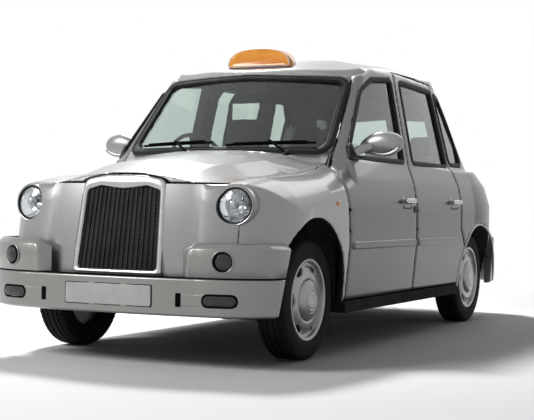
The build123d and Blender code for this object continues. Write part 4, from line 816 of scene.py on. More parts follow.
@dataclass
class Studio:
    """Camera, pale floor, soft lamps and a white surround."""

    eye: Point = (3.6597, -7.9211, 0.8412)
    yaw: float = 26.049
    pitch: float = -0.226
    roll: float = 0.917
    lens: float = 87.43
    floor_half: float = 45.0
    floor_colour: tuple[Colour, Colour] = ((0.79, 0.79, 0.79), (0.81, 0.81, 0.81))
    fade: Ends = (3.2, 6.0)
    lamps: tuple = (
        ("main", (-2.6, 2.2, 6.5), (0.0, 0.0, 0.5), 1.0, 660.0),
        ("front", (-4.5, -7.5, 5.5), (-0.3, -1.8, 0.8), 3.0, 520.0),
        ("sky", (1.0, 8.5, 6.5), (0.0, -0.5, 1.0), 6.0, 160.0),
    )
    soft: tuple[Colour, float] = ((0.95, 0.97, 1.0), 0.08)

    def build(self) -> None:
        """Sets the whole studio."""
        self.place_camera()
        self.lay_floor()
        self.hang_lamps()
        self.paint_world()
        bpy.context.scene.view_settings.view_transform = "Standard"

    def place_camera(self) -> None:
        """Points the camera: its right, up and back axes are the columns of its rotation."""
        yaw, pitch, roll = (math.radians(v) for v in (self.yaw, self.pitch, self.roll))
        forward = np.array((-math.sin(yaw) * math.cos(pitch), math.cos(yaw) * math.cos(pitch), math.sin(pitch)))
        right = np.array((math.cos(yaw), math.sin(yaw), 0.0))
        up = np.cross(right, forward)
        right, up = right * math.cos(roll) + up * math.sin(roll), -right * math.sin(roll) + up * math.cos(roll)
        data = bpy.data.cameras.new("camera")
        data.lens, data.sensor_width, data.sensor_fit = self.lens, 36.0, "HORIZONTAL"
        camera = bpy.data.objects.new("camera", data)
        matrix = np.eye(4)
        matrix[:3] = np.stack([right, up, -forward, self.eye], axis=1)
        camera.matrix_world = Matrix(matrix.tolist())
        bpy.context.scene.collection.objects.link(camera)
        bpy.context.scene.camera = camera

    def lay_floor(self) -> None:
        """A pale floor that keeps the cab's shadow and fades to white for the camera and in gloss."""
        shade = Shader("floor", (0.80, 0.80, 0.80), 0.0, 0.9)
        shade.set("Base Color", shade.blend(shade.noise(0.6, 2.0), *self.floor_colour, (0.3, 0.7)))
        away = shade.add("VectorMath", {0: shade.place}, operation="LENGTH").outputs["Value"]
        span = {"Value": away, "From Min": self.fade[0], "From Max": self.fade[1]}
        fade = shade.add("MapRange", span, interpolation_type="SMOOTHSTEP").outputs[0]
        white = shade.product(fade, seen_directly(shade.tree))
        glow = shade.add("Emission", {}).outputs[0]
        mix = shade.add("MixShader", {0: white, 1: shade.core.outputs[0], 2: glow})
        shade.tree.links.new(mix.outputs[0], shade.output.inputs[0])
        half = self.floor_half
        floor = put("floor", [(-half, -half, 0.0), (half, -half, 0.0), (half, half, 0.0), (-half, half, 0.0)], [(0, 1, 2, 3)])
        floor.data.materials.append(shade.material)

    def hang_lamps(self) -> None:
        """Three soft lamps: a main one above the right shoulder, a front one and a wide one high behind."""
        for name, place, target, size, power in self.lamps:
            data = bpy.data.lights.new(name, "AREA")
            data.shape, data.size, data.energy = "SQUARE", size, power
            lamp = bpy.data.objects.new(name, data)
            aim = (Vector(target) - Vector(place)).to_track_quat("-Z", "Y")
            lamp.matrix_world = Matrix.Translation(place) @ aim.to_matrix().to_4x4()
            bpy.context.scene.collection.objects.link(lamp)

    def paint_world(self) -> None:
        """White where the camera, gloss or glass looks past the floor, and a plain soft light otherwise."""
        world = bpy.data.worlds.new("surround")
        bpy.context.scene.world = world
        world.use_nodes = True
        tree = world.node_tree
        tree.nodes.clear()
        colour, strength = self.soft
        soft = add_node(tree, "Background", {"Color": (*colour, 1.0), "Strength": strength}).outputs[0]
        white = add_node(tree, "Background", {"Color": (1.0, 1.0, 1.0, 1.0), "Strength": 1.0}).outputs[0]
        mix = add_node(tree, "MixShader", {0: seen_directly(tree), 1: soft, 2: white})
        add_node(tree, "OutputWorld", {0: mix.outputs[0]})


@dataclass
class Bodywork:
    """The painted panels, lids and doors, each with its finish and the grain of its pressing."""

    cab: Cab
    # Sides, tail and doors take the darker copy of the silver paint, as painted shade.
    panels: tuple = (
        ("roof_panel", "paint", 0.010), ("scuttle", "paint", 0.0), ("front_wings", "paint", 0.008),
        ("front_panel", "paint", 0.0), ("bonnet", "paint", 0.008), ("headlamp_rims", "paint", 0.0),
        ("rear_panel", "side_paint_shaded", 0.0), ("boot_lid", "side_paint_shaded", 0.0), ("body_sides", "side_paint_shaded", 0.010),
        ("door_front_left", "side_paint_shaded", 0.010), ("door_front_right", "side_paint_shaded", 0.010),
        ("door_rear_left", "side_paint_shaded", 0.010), ("door_rear_right", "side_paint_shaded", 0.010),
    )
    corner_fall: float = 0.042

    def ease_corners(self, mesh: bpy.types.Mesh) -> None:
        """Rounds the roof's front corners down: z falls by f s(|x|) s(y) w(z), each factor eased from 0 to 1."""
        flat = np.empty(len(mesh.vertices) * 3)
        mesh.vertices.foreach_get("co", flat)
        x, y, z = flat.reshape(-1, 3).T
        across, back, up = (np.clip(t, 0.0, 1.0) for t in ((np.abs(x) - 0.20) / 0.42, (0.15 - y) / 0.65, (z - 1.60) / 0.08))
        fall = self.corner_fall * across ** 2 * (3.0 - 2.0 * across) * back ** 2 * (3.0 - 2.0 * back) * up
        mesh.vertices.foreach_set("co", np.stack([x, y, z - fall], axis=1).ravel())
        mesh.update()

    def build(self) -> None:
        """Dresses every painted node, its inner faces dark, and the faces down in its shut gaps dark too as painted
        shade.
        """
        for node, finish, pressed in self.panels:
            piece = self.cab.skin(node, finish, "silver_paint", "cabin", pressed)
            if node == "roof_panel":
                self.ease_corners(piece.data)
        self.cab.report("bodywork")


@dataclass
class Glazing:
    """Glass panes and the rubber that holds them; outlines are in distance aft, or x, and height."""

    cab: Cab
    front_window: tuple = ((0.540, 1.130), (0.914, 1.545), (1.111, 1.629), (1.430, 1.655), (1.415, 1.130))
    rear_window: tuple = ((1.590, 1.130), (1.590, 1.655), (2.290, 1.650), (2.328, 1.130))
    quarter_window: tuple = ((2.424, 1.150), (2.372, 1.644), (2.600, 1.622), (2.690, 1.500), (2.750, 1.150))
    windscreen: tuple = ((-0.655, 1.166), (0.0, 1.172), (0.655, 1.166), (0.606, 1.606), (0.0, 1.632), (-0.606, 1.606))
    backlight: tuple = ((-0.500, 1.150), (0.0, 1.150), (0.500, 1.150), (0.440, 1.520), (0.0, 1.545), (-0.440, 1.520))
    edge: tuple = (
        (-0.019, -0.003), (-0.019, 0.003), (-0.013, 0.0055), (0.002, 0.0060),
        (0.012, 0.001), (0.016, -0.008), (0.016, -0.0135), (0.004, -0.0135),
    )
    screen_parts: tuple = (
        ("outer", "rubber", (
            (-0.036, -0.003), (-0.036, 0.004), (-0.030, 0.008), (-0.014, 0.009), (-0.011, 0.004), (-0.011, -0.003),
        )),
        ("filler", "rubber_pale", ((-0.013, -0.003), (-0.013, 0.005), (-0.006, 0.007), (0.001, 0.005), (0.001, -0.006))),
        ("inner", "rubber", ((-0.001, -0.006), (-0.001, 0.004), (0.005, 0.006), (0.014, 0.002), (0.020, -0.008),
                             (0.020, -0.0135), (0.004, -0.0135))),
    )

    def seal(self, name: str, outline: Array, surface: Callable, outward: Sequence[float], profile: tuple,
             side: Side = Side.LEFT) -> Piece:
        """A rubber carried round an opening on a surface.

        Args:
            name: the piece's name.
            outline: the opening in the surface's two parameters.
            surface: the surface it lies on.
            outward: the way it faces.
            profile: section, x towards the middle of the opening.
            side: the side it is on.

        Returns:
            The seal.
        """
        points = surface(*outline.T)
        up = normals(surface, *outline.T, outward)
        if np.sum(np.cross(along(points, True), up) * (points.mean(axis=0) - points)) < 0.0:
            points, up = points[::-1], up[::-1]
        return carry(name, mirrored(points, side), mirrored(up, side), np.asarray(profile) * (side.value, 1.0), True)

    def build(self) -> None:
        """Dresses the panes and makes every seal."""
        cab = self.cab
        for side in Side:
            for name, outline, radius, body in (
                ("front", self.front_window, 0.028, f"front_door_{side.label}"),
                ("rear", self.rear_window, 0.028, f"rear_door_{side.label}"),
                ("quarter", self.quarter_window, 0.050, "body"),
            ):
                seal = self.seal(
                    f"seal_{name}_{side.label}", rounded(outline, radius), side_point, (1, 0, 0), self.edge, side,
                )
                cab.add(seal, "rubber", "black_trim", body=body)
        for name, outline, surface, outward in (
            ("windscreen", self.windscreen, screen_point, (0, -1, 0)),
            ("backlight", self.backlight, back_point, (0, 1, 0)),
        ):
            for part, finish, profile in self.screen_parts:
                seal = self.seal(f"{name}_{part}", rounded(outline, 0.050), surface, outward, profile)
                cab.add(seal, finish, "black_trim")
        panes = (f"door_glass_{e}_{s.label}" for e in ("front", "rear") for s in Side)
        cab.dress("glass", "windscreen", "rear_glass", *panes)
        cab.report("glazing")


@dataclass
class Bumper:
    """A wrap-round bumper: a lower beam across the cab and a raised block at each corner.

    The plan runs through the points of corner, widens to half_width and stops on a line aft of the end whose two
    distances, at the heights of stop_z, are in stop.
    """

    cab: Cab
    name: str
    sign: float
    end: float
    stop: Ends
    corner: tuple
    half_width: float
    stop_z: Ends = (0.260, 0.660)
    beam_z: Ends = (0.272, 0.466)
    groove_z: Ends = (0.4662, 0.4718)
    block_z: Ends = (0.472, 0.645)
    block_x: float = 0.452
    block_end: float = 0.050
    block_corner: float = 0.040
    wall: float = 0.050

    def plan(self, z: Array) -> Array:
        """The outer edge in plan from the middle round to its end at each height.

        An arc across the face, an arc round the corner, then a run that widens by a parabola to the half width and
        stops on the slanted line ahead of the arch.

        Args:
            z: heights, shape (m,).

        Returns:
            Half width and distance in from the end, shape (stations, m, 2).
        """
        w, z, (middle, a, b, c) = self.half_width, np.atleast_1d(z), self.corner
        x = np.linspace(0.0, a[0], 40)
        cx, cy, r = circle_of((0.0, 0.0), middle, a)
        face = np.stack([x, cy - np.sqrt(r * r - (x - cx) ** 2)], axis=1)
        cx, cy, r = circle_of(a, b, c)
        turn = np.linspace(math.atan2(a[1] - cy, a[0] - cx), math.atan2(c[1] - cy, c[0] - cx), 40)[1:]
        round_it = np.stack([cx + r * np.cos(turn), cy + r * np.sin(turn)], axis=1)
        front = np.concatenate([face, round_it])
        front = np.broadcast_to(front[:, None], (len(front), len(z), 2))
        last = np.interp(z, self.stop_z, self.stop)
        s = np.linspace(0.0, 1.0, 21)[1:, None]
        side = np.stack([w - (w - c[0]) * (1.0 - s) ** 2 + 0.0 * last, c[1] + s * (last - c[1])], axis=-1)
        return np.concatenate([front, side])

    def face_y(self, x: Array) -> Array:
        """Y of the outer edge at a half width, on the front or rear face."""
        run = self.plan(np.array(0.40))[:79, 0]
        return self.end - self.sign * np.interp(np.abs(x), run[:, 0], run[:, 1])

    def face_point(self, x: Array, z: Array) -> Array:
        """A point of the outer face."""
        return np.stack([x, self.face_y(x), z], axis=-1)

    def flat_point(self, lift: float) -> Callable:
        """An upright plane across the cab, a little inside or outside the bumper's foremost point."""
        return lambda x, z: np.stack([x, np.full_like(x, self.end + lift), z], axis=-1)

    def beam_section(self, z: Ends, edge: float, lean: float = 0.0) -> Array:
        """The closed section of a beam, columns outward and height.

        Args:
            z: bottom and top.
            edge: radius of the outer corners.
            lean: how far the bottom is drawn in.

        Returns:
            The section.
        """
        t = np.linspace(0.0, math.pi / 2, 7)
        low = np.stack([-edge + edge * np.sin(t) - lean * np.cos(t), z[0] + edge - edge * np.cos(t)], axis=1)
        high = np.stack([-edge + edge * np.cos(t), z[1] - edge + edge * np.sin(t)], axis=1)
        return np.concatenate([[(-self.wall, z[0] + 0.004)], low, high, [(-self.wall, z[1] - 0.004)]])

    def block_section(self) -> Array:
        """The corner block's section: an upright face, then a broad chamfer leaning back to its top."""
        low, high = self.block_z
        return np.array([(-self.wall, low), (-0.003, low), (0.0, low + 0.003), (0.0, high - 0.034), (-0.003, high - 0.028),
                         (-0.034, high - 0.003), (-0.040, high), (-self.wall, high)])

    def wrap(self, name: str, section: Array, side: Side | None = None) -> Piece:
        """A section carried along the plan: point = plan + outward normal * section x, at height section z.

        A corner block starts at its inner end, where its top is rounded off along a quarter circle.

        Args:
            name: the piece's name.
            section: columns outward and height.
            side: the side of a corner block, or None for the whole width.

        Returns:
            The beam or block.
        """
        depth, z = section.T
        run = self.plan(z)
        if side:
            run = np.concatenate([run[:1] * (0.0, 1.0) + (self.block_x, 0.0), run[run[:, 0, 0] > self.block_x + 0.002]])
            run[0, :, 1] = run[1, :, 1]
        ahead = unit(np.gradient(run, axis=0))
        x, inward = run[..., 0] + ahead[..., 1] * depth, run[..., 1] - ahead[..., 0] * depth
        height = np.broadcast_to(z, x.shape)
        if side:
            x[0] += self.block_end * depth / self.wall
            rise, c = z.max() - z.min(), self.block_corner
            short = np.clip(c - (run[:, :1, 0] - self.block_x), 0.0, c)
            height = z.min() + (height - z.min()) * (1.0 - (c - np.sqrt(c * c - short ** 2)) / rise)
        half = np.stack([x, self.end - self.sign * inward, height], axis=-1)
        points = mirrored(half, side) if side else np.concatenate([half[:0:-1] * (-1.0, 1.0, 1.0), half])
        return lofted(name, points, sharp=50.0, turn=-1)

    def build(self) -> None:
        """The beam, the dark line above it and the two corner blocks."""
        cab = self.cab
        beam = self.wrap(f"{self.name}_beam", self.beam_section(self.beam_z, 0.012, 0.016))
        cab.add(beam, "bumper_paint_shaded", "silver_paint", self.name)
        groove = self.beam_section(self.groove_z, 0.002) - (0.004, 0.0)
        cab.add(self.wrap(f"{self.name}_groove", groove), "gap", "black_trim")
        for side in Side:
            block = self.wrap(f"{self.name}_block_{side.label}", self.block_section(), side)
            soften = block.modifiers.new("soften", "BEVEL")
            soften.width, soften.segments, soften.limit_method, soften.angle_limit = 0.008, 3, "ANGLE", math.radians(60.0)
            cab.add(block, "bumper_paint_shaded", "silver_paint")
        cab.report(self.name)


@dataclass
class FrontEnd:
    """Grille, lamps, number-plate place and lower slots."""

    cab: Cab
    bumper: Bumper
    grille_z: Ends = (0.470, 0.990)
    grille_front: float = -0.722
    grille_rake: float = 0.082
    grille_bow: float = 0.12
    grille_outer: tuple = (
        (-0.273, 0.470), (0.273, 0.470), (0.250, 0.962), (0.130, 0.984), (0.0, 0.990), (-0.130, 0.984), (-0.250, 0.962),
    )
    grille_radii: tuple = (0.012, 0.012, 0.045, 0.3, 0.5, 0.3, 0.045)
    grille_inner: tuple = ((-0.240, 0.497), (0.240, 0.497), (0.222, 0.905), (0.140, 0.928), (0.060, 0.917), (0.0, 0.912),
                           (-0.060, 0.917), (-0.140, 0.928), (-0.222, 0.905))
    lamp: Point = (0.629, -0.590, 0.834)
    lamp_radius: float = 0.091
    indicator: Ends = (0.640, 0.553)
    indicator_radius: float = 0.056
    slot_x: Ends = (0.400, 0.715)
    slot_z: Ends = (0.322, 0.392)
    plate_half: float = 0.262
    plate_z: Ends = (0.314, 0.428)

    def grille_point(self, x: Array, z: Array) -> Array:
        """A point of the raked, slightly bowed grille face: y = front + rake * height share + bow * x squared."""
        share = (z - self.grille_z[0]) / (self.grille_z[1] - self.grille_z[0])
        return np.stack([x, aft(self.grille_front + self.grille_rake * share + self.grille_bow * x * x), z], axis=-1)

    def polar(self, outline: Array, angle: Array, centre: Ends) -> Array:
        """Points of a star-shaped outline at given angles about a centre, by interpolating its radius."""
        rel = outline - centre
        at = np.arctan2(rel[:, 1], rel[:, 0])
        order = np.argsort(at)
        radius = np.interp(angle, at[order], np.linalg.norm(rel, axis=1)[order], period=TURN)
        return np.stack([centre[0] + radius * np.cos(angle), centre[1] + radius * np.sin(angle)], axis=1)

    def frame(self) -> Piece:
        """The bright surround: a crowned ring between two outlines, its heights across given by a short table."""
        centre = (0.0, 0.70)
        outer, inner = rounded(self.grille_outer, self.grille_radii), rounded(self.grille_inner, 0.02, 0.008)
        rel = np.concatenate([outer, inner]) - centre
        angle = np.sort(np.arctan2(rel[:, 1], rel[:, 0]))
        far, near = self.polar(outer, angle, centre), self.polar(inner, angle, centre)
        across = np.array([0.0, 0.0, 0.06, 0.18, 0.5, 0.80, 0.92, 1.0, 1.0])
        height = np.array([-0.055, -0.006, 0.001, 0.005, 0.007, 0.005, 0.0, -0.010, -0.055])
        flat = far[:, None] * (1.0 - across[None, :, None]) + near[:, None] * across[None, :, None]
        rings = self.grille_point(flat[..., 0], flat[..., 1]) + height[None, :, None] * AHEAD
        return lofted("grille_frame", rings, True, 50.0)

    def wires(self, name: str, paths: Array, half: float) -> Piece:
        """Many square wires in one mesh: corners = path +- half across and out, for whole arrays of paths.

        Args:
            name: the piece's name.
            paths: positions, shape (wires, stations, 3).
            half: half the wire's thickness.

        Returns:
            The object.
        """
        wires, stations = paths.shape[:2]
        tangent = unit(np.gradient(paths, axis=1))
        across = unit(np.cross(tangent, np.broadcast_to((0.0, -1.0, 0.16), tangent.shape)))
        lift = np.cross(across, tangent)
        corners = np.array([(-1, -1), (1, -1), (1, 1), (-1, 1)]) * half
        points = paths[:, :, None] + across[:, :, None] * corners[:, :1] + lift[:, :, None] * corners[:, 1:]
        last = (stations - 1) * 4
        one = np.concatenate([grid_faces(stations, 4, False, True), [(3, 2, 1, 0), (last, last + 1, last + 2, last + 3)]])
        return put(name, points, (one[None] + (np.arange(wires) * stations * 4)[:, None, None]).reshape(-1, 4))

    def mesh(self) -> None:
        """Upright bars over a woven net: net wires are z = z0 + a * sin(k x + phase), in two opposite phases."""
        cab = self.cab
        narrowed = lambda x, z: x * (1.0 - 0.07 * (z - 0.49) / 0.44)
        x, z = np.broadcast_arrays(np.linspace(-0.234, 0.234, 17)[:, None], np.linspace(0.490, 0.932, 24)[None, :])
        bars = self.grille_point(narrowed(x, z), z) - 0.010 * AHEAD
        cab.add(self.wires("grille_bars", bars, 0.0022), "black", "black_trim", "grille_mesh")
        x, rows = np.linspace(-0.243, 0.243, 109)[None, :], np.arange(0.496, 0.925, 0.0135)[:, None]
        for name, phase in (("grille_net_a", 0.0), ("grille_net_b", math.pi)):
            wave = rows + 0.0046 * np.sin(x * (TURN / 0.018) + phase)
            cab.add(self.wires(name, self.grille_point(narrowed(x, wave), wave) - 0.016 * AHEAD, 0.0014), "net", "black_trim")
        corners = rounded(((-0.252, 0.480), (0.252, 0.480), (0.235, 0.945), (-0.235, 0.945)), 0.02)
        cab.add(pad("radiator_face", corners, self.grille_point, AHEAD, (-0.040, -0.044), (1.0, 1.0)), "gap", "black_trim")

    def headlamp(self, side: Side) -> None:
        """Lens dome, reflector bowl with its bulb shields and flutes, and the dark seam and painted ring round them."""
        cab, (x, y, z), r = self.cab, self.lamp, self.lamp_radius
        centre, ahead = np.array((x * side.value, aft(y), z)), (0.10 * side.value, -1.0, 0.06)

        def piece(
            name: str, profile: Array, finish: str, slot: str, *nodes: str, shift: Point = (0, 0, 0), count: int = 64,
        ) -> None:
            """Turns one part of the lamp about its own axis."""
            cab.add(turned(f"lamp_{name}_{side.label}", centre + shift, ahead, profile, count), finish, slot, *nodes)

        t = np.linspace(0.0, 1.0, 16)
        outer = np.stack([0.020 * (1 - t ** 2), (r - 0.006) * t], axis=1)
        inner = np.stack([0.016 * (1 - t ** 2) - 0.006, (r - 0.008) * t], axis=1)
        piece("lens", np.concatenate([outer, [(-0.006, r - 0.005)], inner[::-1]]), "clear", "clear_glass", "headlamps")
        bowl = np.stack([-0.052 * (1 - t ** 2) - 0.006, (r - 0.008) * t], axis=1)
        piece("bowl", np.concatenate([bowl, [(-0.060, r - 0.006)], [(-0.062, 0.0)]]), "mirror", "bright_trim")
        shield = ((-0.012, 0.0), (-0.012, 0.010), (-0.016, 0.016), (-0.030, 0.019), (-0.044, 0.019), (-0.044, 0.0))
        for name, shift in (("bulb_main", (-0.024, 0.0, 0.010)), ("bulb_dip", (0.030, 0.0, -0.014))):
            piece(name, shield, "bright", "bright_trim", shift=shift, count=32)
        flutes, radii = round_turn(24)[:, None], np.linspace(0.022, r - 0.012, 8)[None, :]
        grid = (radii * np.cos(flutes), 0.003 + 0.050 * (1 - (radii / r) ** 2), radii * np.sin(flutes))
        grid = np.stack(np.broadcast_arrays(*grid), axis=-1) + centre
        cab.add(self.wires(f"lamp_flutes_{side.label}", grid, 0.0012), "mirror", "bright_trim")
        piece("seam", bead((0.004, 0.004), (r - 0.001, 0.0045), 16), "rubber", "black_trim")
        ring = (
            (-0.090, 0.002), (0.002, 0.002), (0.006, 0.004), (0.007, 0.007), (0.004, 0.011), (-0.010, 0.014), (-0.090, 0.018),
        )
        piece("ring", np.asarray(ring) + (0.0, r), "paint", "silver_paint")

    def corner_lamp(self, side: Side) -> None:
        """A smoked round lamp in the bumper block: a dark face as painted shade of its recess, domed lens and a rolled
        painted rim.
        """
        cab, r, (x, z), step = self.cab, self.indicator_radius, self.indicator, 0.002
        before, here, after = (float(self.bumper.face_y(np.array(x + dx))) for dx in (-step, 0.0, step))
        ahead = np.array(((after - before) / (2 * step) * side.value, -1.0, 0.0))
        centre = np.array((x * side.value, here, z))
        t = np.linspace(0.0, 1.0, 12)
        dome = np.stack([0.002 + 0.009 * (1 - t ** 2), (r - 0.015) * t], axis=1)
        dome = np.concatenate([dome, [(-0.006, r - 0.015), (-0.006, 0.0)]])
        floor = ((0.0012, 0.0), (0.0012, r - 0.006), (-0.004, r - 0.004), (-0.004, 0.0))
        for name, shift, profile, finish, slot, nodes in (
            ("lens", 0.006, dome, "smoked", "clear_glass", ("bumper_lamps",)),
            # The floor is a flat near-black disc, painted shade of the lamp's recess.
            ("floor", 0.0, floor, "gap", "black_trim", ()),
            ("rim", 0.0, bead((0.0, 0.0045), (r - 0.001, 0.0045), 14), "bumper_paint_shaded", "black_trim", ()),
        ):
            lamp = turned(f"corner_lamp_{name}_{side.label}", centre + shift * side.value * OUT, ahead, profile)
            cab.add(lamp, finish, slot, *nodes)

    def lower_slots(self) -> None:
        """The dished panel and the black pill-shaped lamp on each side of the plate, and the plate place itself."""
        cab, (start, end), (low, high) = self.cab, self.slot_x, self.slot_z
        pill = box((end - 0.180, end), self.slot_z, 0.034, 0.006)
        panel = box((start, end - 0.150), (low + 0.006, high - 0.006), 0.008, 0.008)
        shadow = box((start - 0.006, start + 0.024), self.slot_z, 0.004)
        for side in Side:
            for name, outline, heights, shrink, finish in (
                ("slot_panel", panel, (-0.010, 0.0006, 0.0012, 0.0012), (1.0, 1.0, 0.96, 0.80), "bumper_paint_shaded"),
                ("slot_shadow", shadow, (-0.010, 0.0016, 0.0016), (1.0, 1.0, 0.8), "gap"),
                ("slot_lamp", pill, (-0.010, 0.0018, 0.0030, 0.0020), (1.0, 1.0, 0.94, 0.84), "gap"),
                ("slot_lens", pill, (-0.004, 0.0022, 0.0042, 0.0050), (0.72, 0.70, 0.50, 0.20), "smoked"),
            ):
                piece = pad(f"{name}_{side.label}", outline, self.bumper.face_point, AHEAD, heights, shrink, side, True)
                cab.add(piece, finish, "black_trim")
        half, (low, high), gap = self.plate_half, self.plate_z, 0.004
        outer = box((-half, half), (low, high), 0.006, 0.01)
        inner = box((gap - half, half - gap), (low + gap, high - gap), 0.005, 0.01)
        face = self.bumper.flat_point(-0.0016)
        edge = pad("plate_edge", outer, face, AHEAD, (-0.016, 0.0, 0.0), (1.0, 1.0, 0.9), even=True)
        cab.add(edge, "gap", "black_trim")
        plate = pad("plate_place", inner, face, AHEAD, (-0.010, 0.0006, 0.0010, 0.0010), (1.0, 1.0, 0.98, 0.8), even=True)
        cab.add(plate, "plate", "silver_paint")

    def build(self) -> None:
        """The whole front."""
        self.cab.add(self.frame(), "bright", "bright_trim", "grille_surround")
        self.mesh()
        for side in Side:
            self.headlamp(side)
            self.corner_lamp(side)
        self.lower_slots()
        self.cab.report("front end")


@dataclass
class RoadWheel:
    """One wheel with its domed cover and tyre; the cover is a table of radius and depth, the tyre of across and radius."""

    cab: Cab
    end: str
    side: Side
    y: float
    x: float = 0.700
    z: float = 0.330
    lugs: int = 64
    holes: int = 6
    hole_radius: float = 0.176
    hole_half: Ends = (0.0150, 0.036)
    hole_depth: float = 0.026
    cover: tuple = (
        (0.0, 0.103), (0.040, 0.103), (0.047, 0.1035), (0.051, 0.1010), (0.055, 0.1035), (0.066, 0.1030), (0.070, 0.1000),
        (0.074, 0.1022), (0.096, 0.0975), (0.108, 0.090), (0.1150, 0.0795), (0.1165, 0.0750), (0.1180, 0.0770),
        (0.130, 0.0785), (0.150, 0.0765), (0.172, 0.0690), (0.188, 0.0600), (0.200, 0.0620), (0.206, 0.0790),
        (0.210, 0.0820), (0.221, 0.0825), (0.2235, 0.0800),
    )
    tyre: tuple = (
        (-0.070, 0.214), (-0.078, 0.219), (-0.083, 0.232), (-0.0868, 0.245), (-0.0875, 0.256), (-0.0875, 0.262),
        (-0.0862, 0.266), (-0.0855, 0.284), (-0.0835, 0.300), (-0.079, 0.3145), (-0.072, 0.3225), (-0.064, 0.3262),
        (-0.0630, 0.3266), (-0.0515, 0.3280), (-0.0500, 0.3282), (-0.0430, 0.3286), (-0.0415, 0.3287),
        (-0.0235, 0.3296), (-0.0220, 0.3297), (-0.0150, 0.3299), (-0.0135, 0.3299), (0.0, 0.330),
    )

    def add(self, piece: Piece, finish: str, slot: str, node: str) -> None:
        """Puts a piece on this wheel's body, in place of the wheel's or the tyre's node."""
        where = f"{self.end}_{self.side.label}"
        self.cab.add(piece, finish, slot, f"{node}_{where}", body=f"{self.end}_wheel_{self.side.label}")

    def placed(self, depth: Array, radius: Array, angle: Array) -> Array:
        """Depth outwards, radius and angle about the hub turned into positions."""
        spots = (self.side.value * (self.x + depth), self.y + radius * np.cos(angle), self.z + radius * np.sin(angle))
        return np.stack(np.broadcast_arrays(*spots), axis=-1)

    def in_hole(self, radius: Array, angle: Array) -> Array:
        """Distance from the middle of the nearest hole, in its own half widths."""
        pitch = TURN / self.holes
        off = (angle + pitch / 2) % pitch - pitch / 2
        return np.hypot((radius - self.hole_radius) / self.hole_half[0], radius * off / self.hole_half[1])

    def build_cover(self) -> None:
        """The cover: depth = table(radius) less a smooth dip inside each oval hole, whose floor is near-black as
        painted shade of the open hole.
        """
        table = np.asarray(self.cover)
        radius = np.unique(np.concatenate([table[:, 0], np.linspace(0.120, 0.205, 30)]))[1:]
        angle = round_turn(240)
        dip = self.hole_depth * np.clip((1.18 - self.in_hole(radius, angle[:, None])) / 0.30, 0.0, 1.0) ** 1.5
        skin = self.placed(np.interp(radius, *table.T) - dip, radius, angle[:, None])
        rows, cols = dip.shape
        here, after, hub = np.arange(rows), (np.arange(rows) + 1) % rows, rows * cols
        flat = np.concatenate([skin.reshape(-1, 3), self.placed(table[:1, 1], 0.0, 0.0), self.placed(-0.02, 0.222, angle)])
        fan = np.stack([0 * here + hub, here * cols, after * cols], axis=1)
        skirt = np.stack([here * cols + cols - 1, after * cols + cols - 1, hub + 1 + after, hub + 1 + here], axis=1)
        faces = [*grid_faces(rows, cols, True, False).tolist(), *fan.tolist(), *skirt.tolist(), (hub + 1 + here).tolist()]
        piece = put(f"wheel_cover_{self.end}_{self.side.label}", flat, faces, 40.0)
        self.add(piece, "wheel", "wheel_silver", "wheel")
        piece.data.materials.append(self.cab.material("gap"))
        _, y, z = (face_values(piece.data, "center") - (0.0, self.y, self.z)).T
        # Near-black hole floors: painted shade for the dark seen through each open hole.
        black = self.in_hole(np.hypot(y, z), np.arctan2(z, y)) < 1.02
        piece.data.polygons.foreach_set("material_index", black.astype(np.int32))

    def build_tyre(self) -> None:
        """The tyre: a section from bead to bead turned round the hub, less its grooves and sipes.

        The tread's radius drops by a groove's depth where the distance across is near one of four lines, and by a
        sipe's where the shoulder's or the middle's sipes come round.
        """
        section = np.asarray(self.tyre)
        across, radius = np.concatenate([section, (section * (-1.0, 1.0))[-2::-1]]).T
        angle = round_turn(self.lugs * 6)[:, None]
        wide, tread = np.abs(across), radius > 0.312
        groove = np.maximum(*(np.abs(wide - line) < 0.0036 for line in (0.0465, 0.0185)))
        phase = (angle * self.lugs / TURN + 0.25 * np.sign(across) + 4.0 * wide) % 1.0
        sipe = (phase < 0.24) & (wide > 0.050) & tread
        fine = (phase > 0.5) & (phase < 0.62) & (wide < 0.045) & tread
        drop = np.maximum(0.0075 * groove, np.maximum(0.0060 * sipe, 0.0030 * fine))
        points = self.placed(np.broadcast_to(across, drop.shape), radius - drop, angle)
        piece = lofted(f"tyre_tread_{self.end}_{self.side.label}", points, True, 28.0)
        self.add(piece, "tyre", "tyre_rubber", "tyre")

    def build(self) -> None:
        """The cover and the tyre."""
        self.build_cover()
        self.build_tyre()


